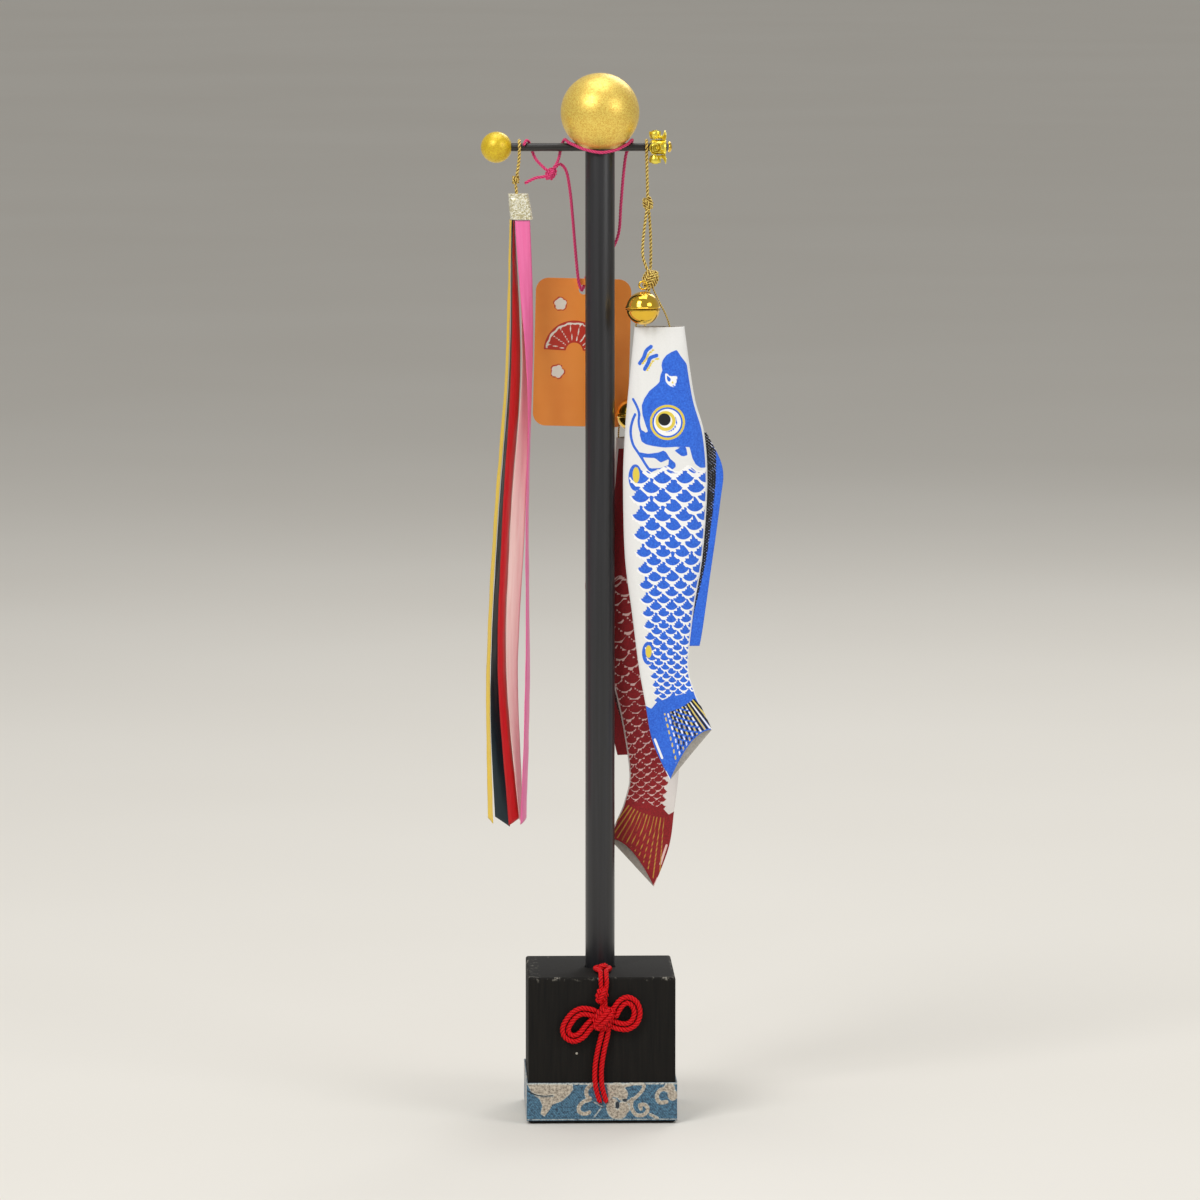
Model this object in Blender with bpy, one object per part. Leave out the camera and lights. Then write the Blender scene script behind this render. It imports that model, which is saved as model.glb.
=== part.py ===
"""Miniature carp streamer stand: a block and pole with a crossbar, two cloth carps, satin ribbons,
a card tag and the cords that tie them. Metres, +Z up, front at -Y, origin under the block's centre."""

import math

import bmesh
import bpy
from mathutils import Matrix, Vector

MM = 0.001

# Stand
STAND_HEIGHT = 320 * MM
BASE_SIDE = 45 * MM
BASE_HEIGHT = 45 * MM
BASE_CHAMFER = 0.8 * MM
SOCKET_DEPTH = 15 * MM
POLE_DIAMETER = 9 * MM
POLE_OVER_BAR = 3.6 * MM
FINIAL_DIAMETER = 24 * MM
BAR_DIAMETER = 2.5 * MM
BAR_OVER_BALL_FOOT = 1.4 * MM
BAR_LEFT_REACH = 33.5 * MM
BAR_RIGHT_REACH = 20.6 * MM
BAR_BALL_DIAMETER = 9.5 * MM
BAR_BALL_X = -31.6 * MM
GAP = 0.3 * MM

# Brocade band round the foot of the block
BAND_HEIGHT = 11.7 * MM
BAND_THICKNESS = 0.5 * MM
BAND_LIFT = 0.8 * MM
BAND_SEAM_GAP = 0.5 * MM

# Flower wheel on the right end of the bar
WHEEL_START_X = 15.6 * MM
WHEEL_HUB_LENGTH = 4.6 * MM
WHEEL_HUB_WALL = 0.7 * MM
WHEEL_LEAF_REACH = 6.6 * MM
WHEEL_LEAF_COUNT = 8
WHEEL_LEAF_THICKNESS = 0.5 * MM
ROSE_DIAMETER = 4.2 * MM
ROSE_RING_RADIUS = 4.5 * MM
ROSE_COUNT = 4
ROSE_SET_BACK = 1.35 * MM

# Cords
GOLD_CORD = 1.0 * MM
MOUTH_THREAD = 0.6 * MM
PINK_CORD = 1.0 * MM
RED_CORD = 1.5 * MM

# Carps: each is drawn from the middle of its mouth, down -Z, its back towards +X
BLUE_MOUTH = Vector((18.0, -4.8, -54.5)) * MM
RED_MOUTH = Vector((12.8, 7.4, -89.2)) * MM
RED_TILT = math.radians(-3.0)
BELL_DIAMETER = 10.3 * MM
BELL_WALL = 0.5 * MM
BELL_SLOT = 1.3 * MM
PELLET_DIAMETER = 3.4 * MM
FIN_THICKNESS = 0.8 * MM

# Ribbons
RIBBON_WIDTH = 4.6 * MM
RIBBON_THICKNESS = 0.2 * MM
RIBBON_LENGTH = 185 * MM
RIBBON_STEP = 5.5 * MM
RIBBON_CAP_HEIGHT = 7.7 * MM
RIBBON_CAP_DEPTH = 5.4 * MM
RIBBON_X = -24.6 * MM

# Least height of the carps' tails and the ribbons' ends over the block
HANG_CLEARANCE = 6 * MM

# Card tag behind the pole
TAG_WIDTH = 29.3 * MM
TAG_HEIGHT = 45.5 * MM
TAG_THICKNESS = 0.6 * MM
TAG_CORNER = 4 * MM
TAG_HOLE_DIAMETER = 3 * MM
TAG_HOLE_DROP = 3.4 * MM
TAG_X = -5.2 * MM
TAG_TOP = -41.0 * MM
TAG_BEHIND_POLE = 7.4 * MM
TAG_TILT = math.radians(1.5)

# What follows from them
FINIAL_Z = STAND_HEIGHT - FINIAL_DIAMETER / 2
BAR_Z = STAND_HEIGHT - FINIAL_DIAMETER + BAR_OVER_BALL_FOOT
POLE_TOP = BAR_Z + BAR_DIAMETER / 2 + POLE_OVER_BAR
POLE_BORE = POLE_DIAMETER + 2 * GAP
BAR_BORE = BAR_DIAMETER + 2 * GAP
BAR = Vector((0, 0, BAR_Z))
LOOP_RADIUS = BAR_DIAMETER / 2 + GAP + GOLD_CORD / 2
FRONT = -BASE_SIDE / 2


# ---- materials -------------------------------------------------------------------------------


def material(name, colour, roughness, metallic=0.0):
    """A plain material with the sub-part's colour and finish."""
    made = bpy.data.materials.new(name)
    made.use_nodes = True
    shader = made.node_tree.nodes["Principled BSDF"]
    shader.inputs["Base Color"].default_value = (*colour, 1.0)
    shader.inputs["Roughness"].default_value = roughness
    shader.inputs["Metallic"].default_value = metallic
    return made


def make_materials():
    return {
        "stained_wood": material("stained_wood", (0.016, 0.014, 0.013), 0.6),
        "pole_paint": material("pole_paint", (0.027, 0.027, 0.030), 0.4),
        "gold_paint": material("gold_paint", (0.77, 0.52, 0.07), 0.4, 0.6),
        "yellow_gold_paint": material("yellow_gold_paint", (0.72, 0.49, 0.03), 0.45, 0.3),
        "polished_gold": material("polished_gold", (0.86, 0.62, 0.10), 0.12, 1.0),
        "gold_cord": material("gold_cord", (0.58, 0.28, 0.02), 0.35, 0.8),
        "red_cord": material("red_cord", (0.68, 0.01, 0.01), 0.5),
        "pink_cord": material("pink_cord", (0.80, 0.06, 0.19), 0.5),
        "brocade": material("brocade", (0.06, 0.16, 0.24), 0.6),
        "blue_cloth": material("blue_cloth", (0.03, 0.16, 0.75), 0.8),
        "red_cloth": material("red_cloth", (0.27, 0.007, 0.014), 0.8),
        "silver_tape": material("silver_tape", (0.62, 0.58, 0.46), 0.4, 0.6),
        "yellow_satin": material("yellow_satin", (0.80, 0.55, 0.02), 0.35),
        "dark_satin": material("dark_satin", (0.006, 0.025, 0.035), 0.35),
        "red_satin": material("red_satin", (0.68, 0.01, 0.015), 0.35),
        "pale_satin": material("pale_satin", (0.82, 0.58, 0.55), 0.35),
        "pink_satin": material("pink_satin", (0.90, 0.21, 0.43), 0.35),
        "card": material("card", (0.85, 0.25, 0.02), 0.5),
    }


# ---- shared shapes ---------------------------------------------------------------------------


def finish(name, mesh, finish_material, sharp=35):
    """Wraps a mesh in a named object of the scene, with its material and smooth shading."""
    made = bpy.data.objects.new(name, mesh)
    bpy.context.scene.collection.objects.link(made)
    mesh.materials.append(finish_material)
    mesh.shade_smooth()
    mesh.set_sharp_from_angle(angle=math.radians(sharp))
    return made


def from_bmesh(name, shape, finish_material, sharp=35):
    bmesh.ops.recalc_face_normals(shape, faces=shape.faces)
    mesh = bpy.data.meshes.new(name)
    shape.to_mesh(mesh)
    shape.free()
    return finish(name, mesh, finish_material, sharp)


def turned(profile, steps=24, axis="Z", at=Vector()):
    """A bmesh of revolution. profile is (radius, height) pairs of a closed outline, or one that
    ends on the axis at both ends; axis is the way height runs."""
    shape = bmesh.new()
    closed = profile[0][0] > 0
    rings = []
    for radius, height in profile:
        if radius <= 0:
            rings.append([shape.verts.new((0, 0, height))])
            continue
        turns = [2 * math.pi * step / steps for step in range(steps)]
        rings.append(
            [shape.verts.new((radius * math.cos(a), radius * math.sin(a), height)) for a in turns]
        )
    pairs = list(zip(rings, rings[1:] + rings[:1])) if closed else list(zip(rings, rings[1:]))
    for low, high in pairs:
        for i in range(steps):
            j = (i + 1) % steps
            corners = [low[i % len(low)], low[j % len(low)], high[j % len(high)], high[i % len(high)]]
            shape.faces.new(list(dict.fromkeys(corners)))
    turn = {"X": Matrix.Rotation(math.pi / 2, 4, "Y"), "Y": Matrix.Rotation(-math.pi / 2, 4, "X")}
    shape.transform(Matrix.Translation(at) @ turn.get(axis, Matrix()))
    return shape


def arc(radius, centre_height, start, end, count):
    """(radius, height) pairs along part of a circle centred on the axis, angles from the bottom."""
    turns = [math.radians(start + (end - start) * i / (count - 1)) for i in range(count)]
    return [(max(radius * math.sin(a), 0.0), centre_height - radius * math.cos(a)) for a in turns]


def rounded_plate(width, height, corner, steps=6):
    """Corner points of an upright rectangle with round corners, centred, as (x, z)."""
    points = []
    for quarter, (sx, sz) in enumerate(((1, 1), (-1, 1), (-1, -1), (1, -1))):
        centre = (sx * (width / 2 - corner), sz * (height / 2 - corner))
        for i in range(steps + 1):
            a = math.radians(90 * quarter + 90 * i / steps)
            points.append((centre[0] + corner * math.cos(a), centre[1] + corner * math.sin(a)))
    return points


def plate(outline, thickness, y):
    """A flat bmesh plate that stands in the XZ plane, from an outline of (x, z)."""
    shape = bmesh.new()
    face = shape.faces.new([shape.verts.new((x, y - thickness / 2, z)) for x, z in outline])
    grown = bmesh.ops.extrude_face_region(shape, geom=[face])
    verts = [v for v in grown["geom"] if isinstance(v, bmesh.types.BMVert)]
    bmesh.ops.translate(shape, verts=verts, vec=(0, thickness, 0))
    return shape


def smooth_route(points, spacing):
    """Points about spacing apart along a smooth curve through the given ones."""
    route = [Vector(p) for p in points]
    route = [2 * route[0] - route[1], *route, 2 * route[-1] - route[-2]]
    fine = []
    for before, start, end, after in zip(route, route[1:], route[2:], route[3:]):
        for i in range(24):
            t = i / 24
            fine.append(
                0.5
                * (
                    2 * start
                    + (end - before) * t
                    + (2 * before - 5 * start + 4 * end - after) * t**2
                    + (3 * start - before - 3 * end + after) * t**3
                )
            )
    fine.append(route[-2])
    lengths = [0.0]
    for a, b in zip(fine, fine[1:]):
        lengths.append(lengths[-1] + (b - a).length)
    count = max(2, round(lengths[-1] / spacing))
    picked, at = [], 0
    for step in range(count + 1):
        target = lengths[-1] * step / count
        while at < len(lengths) - 2 and lengths[at + 1] < target:
            at += 1
        span = lengths[at + 1] - lengths[at]
        share = (target - lengths[at]) / span if span else 0.0
        picked.append(fine[at].lerp(fine[at + 1], min(share, 1.0)))
    return picked


def cord(name, points, diameter, finish_material, spacing=None):
    """A round cord along a smooth curve through the points."""
    curve = bpy.data.curves.new(name, "CURVE")
    curve.dimensions = "3D"
    curve.bevel_depth = diameter / 2
    curve.bevel_resolution = 2
    curve.use_fill_caps = True
    route = smooth_route(points, spacing or 2 * diameter)
    spline = curve.splines.new("POLY")
    spline.points.add(len(route) - 1)
    for point, place in zip(spline.points, route):
        point.co = (*place, 1)
    made = bpy.data.objects.new(name, curve)
    bpy.context.scene.collection.objects.link(made)
    curve.materials.append(finish_material)
    return made


def knot(name, centre, size, finish_material, lobes=3):
    """A small tied knot: a ball with the swellings of the turns of its cord."""
    shape = bmesh.new()
    bmesh.ops.create_icosphere(shape, subdivisions=2, radius=1.0)
    for vert in shape.verts:
        swell = 1 - 0.06 * (1 - math.cos(2 * lobes * math.atan2(vert.co.y, vert.co.x) + 5 * vert.co.z))
        vert.co = Vector(centre) + Vector([c * s / 2 * swell for c, s in zip(vert.co, size)])
    return from_bmesh(name, shape, finish_material, sharp=60)


def helper(name, shape):
    """A hidden cutter for a Boolean."""
    mesh = bpy.data.meshes.new(name)
    bmesh.ops.recalc_face_normals(shape, faces=shape.faces)
    shape.to_mesh(mesh)
    shape.free()
    made = bpy.data.objects.new(name, mesh)
    bpy.context.scene.collection.objects.link(made)
    made.hide_render = True
    made.display_type = "WIRE"
    return made


def cut(target, cutter):
    step = target.modifiers.new(cutter.name, "BOOLEAN")
    step.operation = "DIFFERENCE"
    step.solver = "EXACT"
    step.object = cutter


def box(size, centre):
    shape = bmesh.new()
    bmesh.ops.create_cube(shape, size=1.0)
    for vert in shape.verts:
        vert.co = Vector([c * s for c, s in zip(vert.co, size)]) + Vector(centre)
    return shape


def rod(radius, start, end, steps=24, axis="Z", at=Vector()):
    return turned([(0, start), (radius, start), (radius, end), (0, end)], steps, axis, at)


# ---- stand -----------------------------------------------------------------------------------


def make_base(mats):
    shape = box((BASE_SIDE, BASE_SIDE, BASE_HEIGHT), (0, 0, BASE_HEIGHT / 2))
    bmesh.ops.bevel(
        shape,
        geom=shape.edges[:],
        offset=BASE_CHAMFER,
        segments=2,
        profile=0.5,
        affect="EDGES",
        clamp_overlap=True,
    )
    block = from_bmesh("base_block", shape, mats["stained_wood"])
    floor = BASE_HEIGHT - SOCKET_DEPTH
    cut(block, helper("socket_cutter", rod(POLE_BORE / 2, floor, BASE_HEIGHT + SOCKET_DEPTH, 32)))


def make_band(mats):
    """A strip of brocade round the foot of the block, its two ends meeting at the back."""
    inner = BASE_SIDE / 2 + GAP
    outer = inner + BAND_THICKNESS
    shape = bmesh.new()
    walls = []
    for reach in (inner, outer):
        turn = BAND_SEAM_GAP / 2
        walls.append(
            [(turn, reach), (reach, reach), (reach, -reach), (-reach, -reach), (-reach, reach), (-turn, reach)]
        )
    rows = []
    for height in (BAND_LIFT, BAND_LIFT + BAND_HEIGHT):
        rows.append([[shape.verts.new((x, y, height)) for x, y in wall] for wall in walls])
    for i in range(5):
        for ring in (0, 1):
            shape.faces.new((rows[0][ring][i], rows[0][ring][i + 1], rows[1][ring][i + 1], rows[1][ring][i]))
        for row in (0, 1):
            shape.faces.new((rows[row][0][i], rows[row][0][i + 1], rows[row][1][i + 1], rows[row][1][i]))
    for i in (0, 5):
        shape.faces.new((rows[0][0][i], rows[0][1][i], rows[1][1][i], rows[1][0][i]))
    from_bmesh("brocade_band", shape, mats["brocade"])


def make_pole(mats):
    start = BASE_HEIGHT - SOCKET_DEPTH + GAP
    pole = from_bmesh("pole", rod(POLE_DIAMETER / 2, start, POLE_TOP, 32), mats["pole_paint"])
    hole = rod(BAR_BORE / 2, -POLE_DIAMETER, POLE_DIAMETER, 16, "X", BAR)
    cut(pole, helper("bar_hole_cutter", hole))


def make_finial(mats):
    radius = FINIAL_DIAMETER / 2
    shape = turned(arc(radius, FINIAL_Z, 0, 180, 19), 32)
    ball = from_bmesh("finial_ball", shape, mats["gold_paint"])
    bore = rod(POLE_BORE / 2, FINIAL_Z - 2 * radius, POLE_TOP + GAP, 32)
    cut(ball, helper("pole_bore_cutter", bore))
    drop = BAR_BORE / 2
    slot = box((2 * FINIAL_DIAMETER, BAR_BORE, radius), (0, 0, BAR_Z + drop - radius / 2))
    cut(ball, helper("bar_slot_cutter", slot))


def make_bar(mats):
    shape = rod(BAR_DIAMETER / 2, -BAR_LEFT_REACH, BAR_RIGHT_REACH, 16, "X", BAR)
    from_bmesh("crossbar", shape, mats["pole_paint"])
    radius = BAR_BALL_DIAMETER / 2
    centre = Vector((BAR_BALL_X, 0, BAR_Z))
    ball = from_bmesh("crossbar_ball", turned(arc(radius, 0, 0, 180, 15), 24, "Z", centre), mats["yellow_gold_paint"])
    start = -BAR_LEFT_REACH - GAP
    bore = rod(BAR_BORE / 2, start, start + BAR_BALL_DIAMETER, 16, "X", BAR)
    cut(ball, helper("bar_ball_bore_cutter", bore))


def make_end_cap(mats):
    """The small domed nail that keeps the flower wheel on the bar."""
    start = BAR_RIGHT_REACH + GAP
    rim = BAR_DIAMETER / 2 + 0.5 * MM
    profile = [(0, start), (rim, start), (rim, start + 0.4 * MM), (0.6 * rim, start + 0.9 * MM), (0, start + 1.1 * MM)]
    from_bmesh("bar_end_nail", turned(profile, 16, "X", BAR), mats["polished_gold"])


# ---- flower wheel ----------------------------------------------------------------------------


def make_wheel(mats):
    """A stamped gold wheel that spins on the bar: a hub, a star of leaves and four rolled roses."""
    inner = BAR_BORE / 2
    outer = inner + WHEEL_HUB_WALL
    end = WHEEL_START_X + WHEEL_HUB_LENGTH
    profile = [(inner, WHEEL_START_X), (outer, WHEEL_START_X), (outer, end), (inner, end)]
    from_bmesh("wheel_hub", turned(profile, 20, "X", BAR), mats["polished_gold"])
    make_leaves(mats, outer + GAP)
    for i in range(ROSE_COUNT):
        make_rose(mats, i)


def make_leaves(mats, inner):
    """A star-shaped leaf plate round the hub, its points curled outwards along the bar."""
    shape = bmesh.new()
    start = WHEEL_START_X + WHEEL_HUB_LENGTH - WHEEL_LEAF_THICKNESS - 0.4 * MM
    count = 4 * WHEEL_LEAF_COUNT
    rings = []
    for side in (0, 1):
        for ring in (0, 1):
            row = []
            for i in range(count):
                point = (2.4, 1.2, 0.0, 1.2)[i % 4] * MM
                radius = inner if ring == 0 else WHEEL_LEAF_REACH - point
                curl = 0.0 if ring == 0 else 0.9 * MM - 0.35 * point
                angle = 2 * math.pi * i / count
                x = start + side * WHEEL_LEAF_THICKNESS + curl
                row.append(shape.verts.new((x, radius * math.cos(angle), radius * math.sin(angle))))
            rings.append(row)
    order = (0, 1, 3, 2)
    for a, b in zip(order, order[1:] + order[:1]):
        for i in range(count):
            j = (i + 1) % count
            shape.faces.new((rings[a][i], rings[a][j], rings[b][j], rings[b][i]))
    shape.transform(Matrix.Translation(BAR))
    from_bmesh("wheel_leaves", shape, mats["polished_gold"])


def make_rose(mats, index):
    """A rolled rose: a cup with a raised middle, facing out from the bar."""
    radius = ROSE_DIAMETER / 2
    profile = [
        (0, 0),
        (0.55 * radius, 0),
        (radius, 0.5 * radius),
        (0.92 * radius, 0.85 * radius),
        (0.7 * radius, 0.6 * radius),
        (0.5 * radius, 0.9 * radius),
        (0.25 * radius, 0.75 * radius),
        (0, 0.95 * radius),
    ]
    base = ROSE_RING_RADIUS - 0.95 * radius + 0.3 * MM
    shape = turned([(r, h + base) for r, h in profile], 14)
    middle = WHEEL_START_X + ROSE_SET_BACK
    turn = Matrix.Rotation(2 * math.pi * index / ROSE_COUNT, 4, "X")
    shape.transform(Matrix.Translation(BAR + Vector((middle, 0, 0))) @ turn)
    from_bmesh(f"wheel_rose_{index + 1}", shape, mats["polished_gold"])


# ---- red bow on the block --------------------------------------------------------------------


def inset(points, distance):
    """The same open run of (x, z) points, moved sideways by a distance to its right."""
    moved = []
    for i, (x, z) in enumerate(points):
        x0, z0 = points[max(i - 1, 0)]
        x1, z1 = points[min(i + 1, len(points) - 1)]
        long = math.hypot(x1 - x0, z1 - z0)
        moved.append((x + distance * (z1 - z0) / long, z - distance * (x1 - x0) / long))
    return moved


def make_bow(mats):
    """The red cord: a small loop on the block's top whose two strands run over the front edge to
    a neck knot, then a centre knot with a doubled loop each side, and two tails down the front."""
    red = mats["red_cord"]
    half = RED_CORD / 2
    lift = BASE_HEIGHT + GAP + half
    face = FRONT - GAP - half
    one_side = (
        (0.85, face - 0.4 * MM, BASE_HEIGHT - 1.9 * MM),
        (0.85, face - 0.3 * MM, BASE_HEIGHT - 0.2 * MM),
        (0.85, FRONT + 1.4 * MM, lift + 0.3 * MM),
        (0.95, FRONT + 6.0 * MM, lift),
        (1.9, FRONT + 9.6 * MM, lift),
        (2.2, FRONT + 12.0 * MM, lift),
        (1.2, FRONT + 13.9 * MM, lift),
    )
    right = [((0.5 + x) * MM, y, z) for x, y, z in one_side]
    left = [((0.5 - x) * MM, y, z) for x, y, z in reversed(one_side)]
    cord("bow_top_loop", right + left, RED_CORD, red, RED_CORD)

    deep = face - 0.7 * MM
    neck = Vector((-0.1 * MM, deep - 0.4 * MM, BASE_HEIGHT - 5.2 * MM))
    knot("bow_neck_knot", neck, (5.0 * MM, 3.4 * MM, 5.2 * MM), red)
    middle = Vector((0.5 * MM, deep - 0.9 * MM, BASE_HEIGHT - 12.2 * MM))
    knot("bow_centre_knot", middle, (7.4 * MM, 4.4 * MM, 8.2 * MM), red, 4)
    # outer strand of each loop from the knot, out, round and back, as (x, z) under the block's top
    loops = {
        "left": ((-3.9, -9.4), (-6.8, -9.3), (-9.6, -11.0), (-11.9, -14.6), (-11.6, -17.8), (-8.8, -19.4), (-5.8, -18.2), (-3.6, -15.6)),
        "right": ((4.9, -10.6), (6.1, -6.9), (8.6, -5.6), (11.2, -7.4), (11.8, -11.2), (10.4, -14.8), (7.8, -16.2), (4.8, -15.2)),
    }
    for side, points in loops.items():
        inward = (RED_CORD + GAP) / MM * (-1 if side == "left" else 1)
        for strand, run in (("outer", points), ("inner", inset(points, inward))):
            route = [(x * MM, deep - 0.3 * MM, BASE_HEIGHT + z * MM) for x, z in run]
            cord(f"bow_{side}_loop_{strand}", route, RED_CORD, red, RED_CORD)
    drop = face - BAND_THICKNESS - GAP
    heights = (-17.4, -22.4, -28.0, -33.4, -38.6)
    tails = {"left": (-0.2, -1.4, -2.2, -2.0, -0.6), "right": (1.7, 0.6, -0.2, 0.0, 1.4)}
    for side, places in tails.items():
        points = [(x * MM, drop, BASE_HEIGHT + z * MM) for x, z in zip(places, heights)]
        cord(f"bow_{side}_tail", points, RED_CORD, red, RED_CORD)


# ---- hanging cords ---------------------------------------------------------------------------


def hung_length(longest, top):
    """The length of what hangs from top: as cut, or less where the block would be in its way."""
    return min(longest, top - BASE_HEIGHT - HANG_CLEARANCE)


def bar_loop(x, foot, spread):
    """Points of a cord that goes up from foot in front of the bar, over it and down behind."""
    turns = [math.radians(-40 + i * 260 / 9) for i in range(10)]
    over = [
        Vector((x, -LOOP_RADIUS * math.cos(a), BAR_Z + LOOP_RADIUS * math.sin(a))) for a in turns
    ]
    low = Vector(foot)
    close = Vector((0.8 * x + 0.2 * low.x, -0.55 * LOOP_RADIUS, BAR_Z - 2.2 * LOOP_RADIUS))
    away = Vector((close.x, -close.y, close.z))
    return [low - Vector((0, spread, 0)), close, *over, away, low + Vector((0, spread, 0))]


def make_ribbons(mats):
    """The gold loop, its knot, the tape cap and the five satin ribbons under it."""
    knot_z = BAR_Z - 9.9 * MM
    top = (RIBBON_X - 0.6 * MM, 0, knot_z + 2.3 * MM)
    cord("ribbon_hanging_loop", bar_loop(RIBBON_X, top, 0.65 * MM), GOLD_CORD, mats["gold_cord"], 1.1 * GOLD_CORD)
    knot_x = RIBBON_X - 1.1 * MM
    knot("ribbon_knot", (knot_x, 0, knot_z), (3.1 * MM, 2.8 * MM, 3.4 * MM), mats["gold_cord"])
    cap_top = BAR_Z - 14.2 * MM
    cord(
        "ribbon_cap_cord",
        [(knot_x, 0, knot_z - 2.0 * MM), (knot_x + 0.3 * MM, 0, cap_top + GAP)],
        GOLD_CORD,
        mats["gold_cord"],
        GOLD_CORD,
    )
    make_cap(mats, cap_top)
    hems = cap_top - RIBBON_CAP_HEIGHT - GAP
    # x, y and turn in degrees at the cap, at each quarter of the way down and at the end
    ribbons = (
        ("yellow", ((-27.2, 0.4, 84), (-27.9, 0.9, 82), (-31.6, 1.2, 80), (-33.9, 1.4, 79), (-33.2, 1.2, 74))),
        ("dark", ((-26.7, 0.4, 84), (-27.2, 0.4, 76), (-30.2, 0.6, 64), (-32.2, 0.4, 55), (-30.0, -1.0, 4))),
        ("red", ((-26.2, 0.4, 84), (-25.7, -0.9, 52), (-28.6, -0.4, 58), (-29.9, -0.6, 56), (-26.4, -1.3, 46))),
        ("pale", ((-25.5, 0.8, 84), (-23.1, 0.4, 68), (-25.2, 0.6, 15), (-27.0, 0.8, 42), (-24.3, 1.2, 76))),
        ("pink", ((-23.7, -2.1, 3), (-21.4, -0.4, 74), (-22.2, 0.0, 78), (-22.1, 0.2, 73), (-23.4, 0.2, 66))),
    )
    for colour, places in ribbons:
        make_ribbon(mats[f"{colour}_satin"], f"ribbon_{colour}", hems, places)


def make_cap(mats, top):
    """The tape folded round the ribbons' upper ends, a little wider at its foot."""
    shape = bmesh.new()
    rows = []
    for z, half, x in ((top, 3.15, -24.95), (top - RIBBON_CAP_HEIGHT, 3.5, -23.9)):
        row = []
        for i in range(16):
            a = 2 * math.pi * i / 16
            flat = math.copysign(abs(math.cos(a)) ** 0.5, math.cos(a))
            deep = math.copysign(abs(math.sin(a)) ** 0.6, math.sin(a))
            row.append(shape.verts.new(((x + half * flat) * MM, RIBBON_CAP_DEPTH / 2 * deep, z)))
        rows.append(row)
        shape.faces.new(row)
    for i in range(16):
        j = (i + 1) % 16
        shape.faces.new((rows[0][i], rows[0][j], rows[1][j], rows[1][i]))
    from_bmesh("ribbon_cap", shape, mats["silver_tape"])


def make_ribbon(finish_material, name, top, places):
    """A flat ribbon that hangs from top through the given places, turned about its own length."""
    last = len(places) - 1
    length = hung_length(RIBBON_LENGTH, top)
    drops = [top - length * i / last for i in range(last + 1)]
    route = smooth_route([(x * MM, y * MM, z) for (x, y, _), z in zip(places, drops)], RIBBON_STEP)
    spread = smooth_route([(turn, 0, -100 * i) for i, (_, _, turn) in enumerate(places)], 100 * last / (len(route) - 1))
    angles = spread[: len(route)] + spread[-1:] * (len(route) - len(spread))
    shape = bmesh.new()
    rings = []
    for middle, angle in zip(route, angles):
        turn = math.radians(angle.x)
        wide = Vector((math.cos(turn), math.sin(turn), 0)) * RIBBON_WIDTH / 2
        thick = Vector((-math.sin(turn), math.cos(turn), 0)) * RIBBON_THICKNESS / 2
        rings.append([shape.verts.new(middle + a * wide + b * thick) for a, b in ((-1, -1), (1, -1), (1, 1), (-1, 1))])
    for low, high in zip(rings, rings[1:]):
        for i in range(4):
            j = (i + 1) % 4
            shape.faces.new((low[i], low[j], high[j], high[i]))
    shape.faces.new(rings[0])
    shape.faces.new(rings[-1])
    bmesh.ops.triangulate(shape, faces=shape.faces)
    from_bmesh(name, shape, finish_material)


# ---- carps -----------------------------------------------------------------------------------

# Left edge x, z and right edge x, z of the flattened tube from mouth to tail, and its half depth
CARP_ROWS = (
    (-7.6, 0.0, 7.6, 0.0, 2.6),
    (-9.6, -20.9, 10.6, -20.9, 3.9),
    (-10.6, -33.1, 13.8, -33.1, 4.1),
    (-11.1, -48.6, 14.7, -48.6, 4.2),
    (-10.5, -70.8, 13.2, -70.8, 3.8),
    (-8.4, -87.5, 10.5, -87.5, 3.0),
    (-6.3, -104.1, 9.0, -104.1, 1.9),
    (-4.3, -115.5, 11.0, -112.5, 1.4),
    (-2.0, -127.6, 13.4, -117.8, 1.1),
    (3.3, -139.4, 16.3, -124.0, 0.8),
)
CARP_TAIL_NOTCH = 4.0
CARP_FIN = ((14.1, -31.9), (19.3, -43.1), (18.6, -54.2), (15.6, -76.3), (12.3, -98.3))
CARP_FIN_FOOT = (9.9, -98.6)


def carp_row(position):
    """The row at a position counted in rows from the mouth, on a smooth curve through them all."""
    at = min(int(position), len(CARP_ROWS) - 2)
    t = position - at
    picked = [CARP_ROWS[min(max(i, 0), len(CARP_ROWS) - 1)] for i in range(at - 1, at + 3)]
    return [
        0.5 * (2 * b + (c - a) * t + (2 * a - 5 * b + 4 * c - d) * t**2 + (3 * b - a - 3 * c + d) * t**3)
        for a, b, c, d in zip(*picked)
    ]


def carp_point(across, position):
    """A point of the carp's flat outline: across is -1 at its belly and 1 at its back."""
    left_x, left_z, right_x, right_z, depth = carp_row(position)
    share = (across + 1) / 2
    tail = max(0.0, (position - 6) / (len(CARP_ROWS) - 7))
    notch = CARP_TAIL_NOTCH * (1 - across**2) * tail**2
    x = left_x + (right_x - left_x) * share
    return x, left_z + (right_z - left_z) * share + notch, depth


def place_carp(shape, mouth, mirror, tilt):
    """Hangs what is drawn in mm at a carp's mouth, as long as the room over the block allows."""
    longest = -CARP_ROWS[-1][1] * MM
    share = hung_length(longest, BAR_Z + mouth.z) / longest
    size = Matrix.Diagonal((-MM if mirror else MM, MM, share * MM, 1))
    shape.transform(Matrix.Translation(BAR + mouth) @ Matrix.Rotation(tilt, 4, "Y") @ size)


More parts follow.
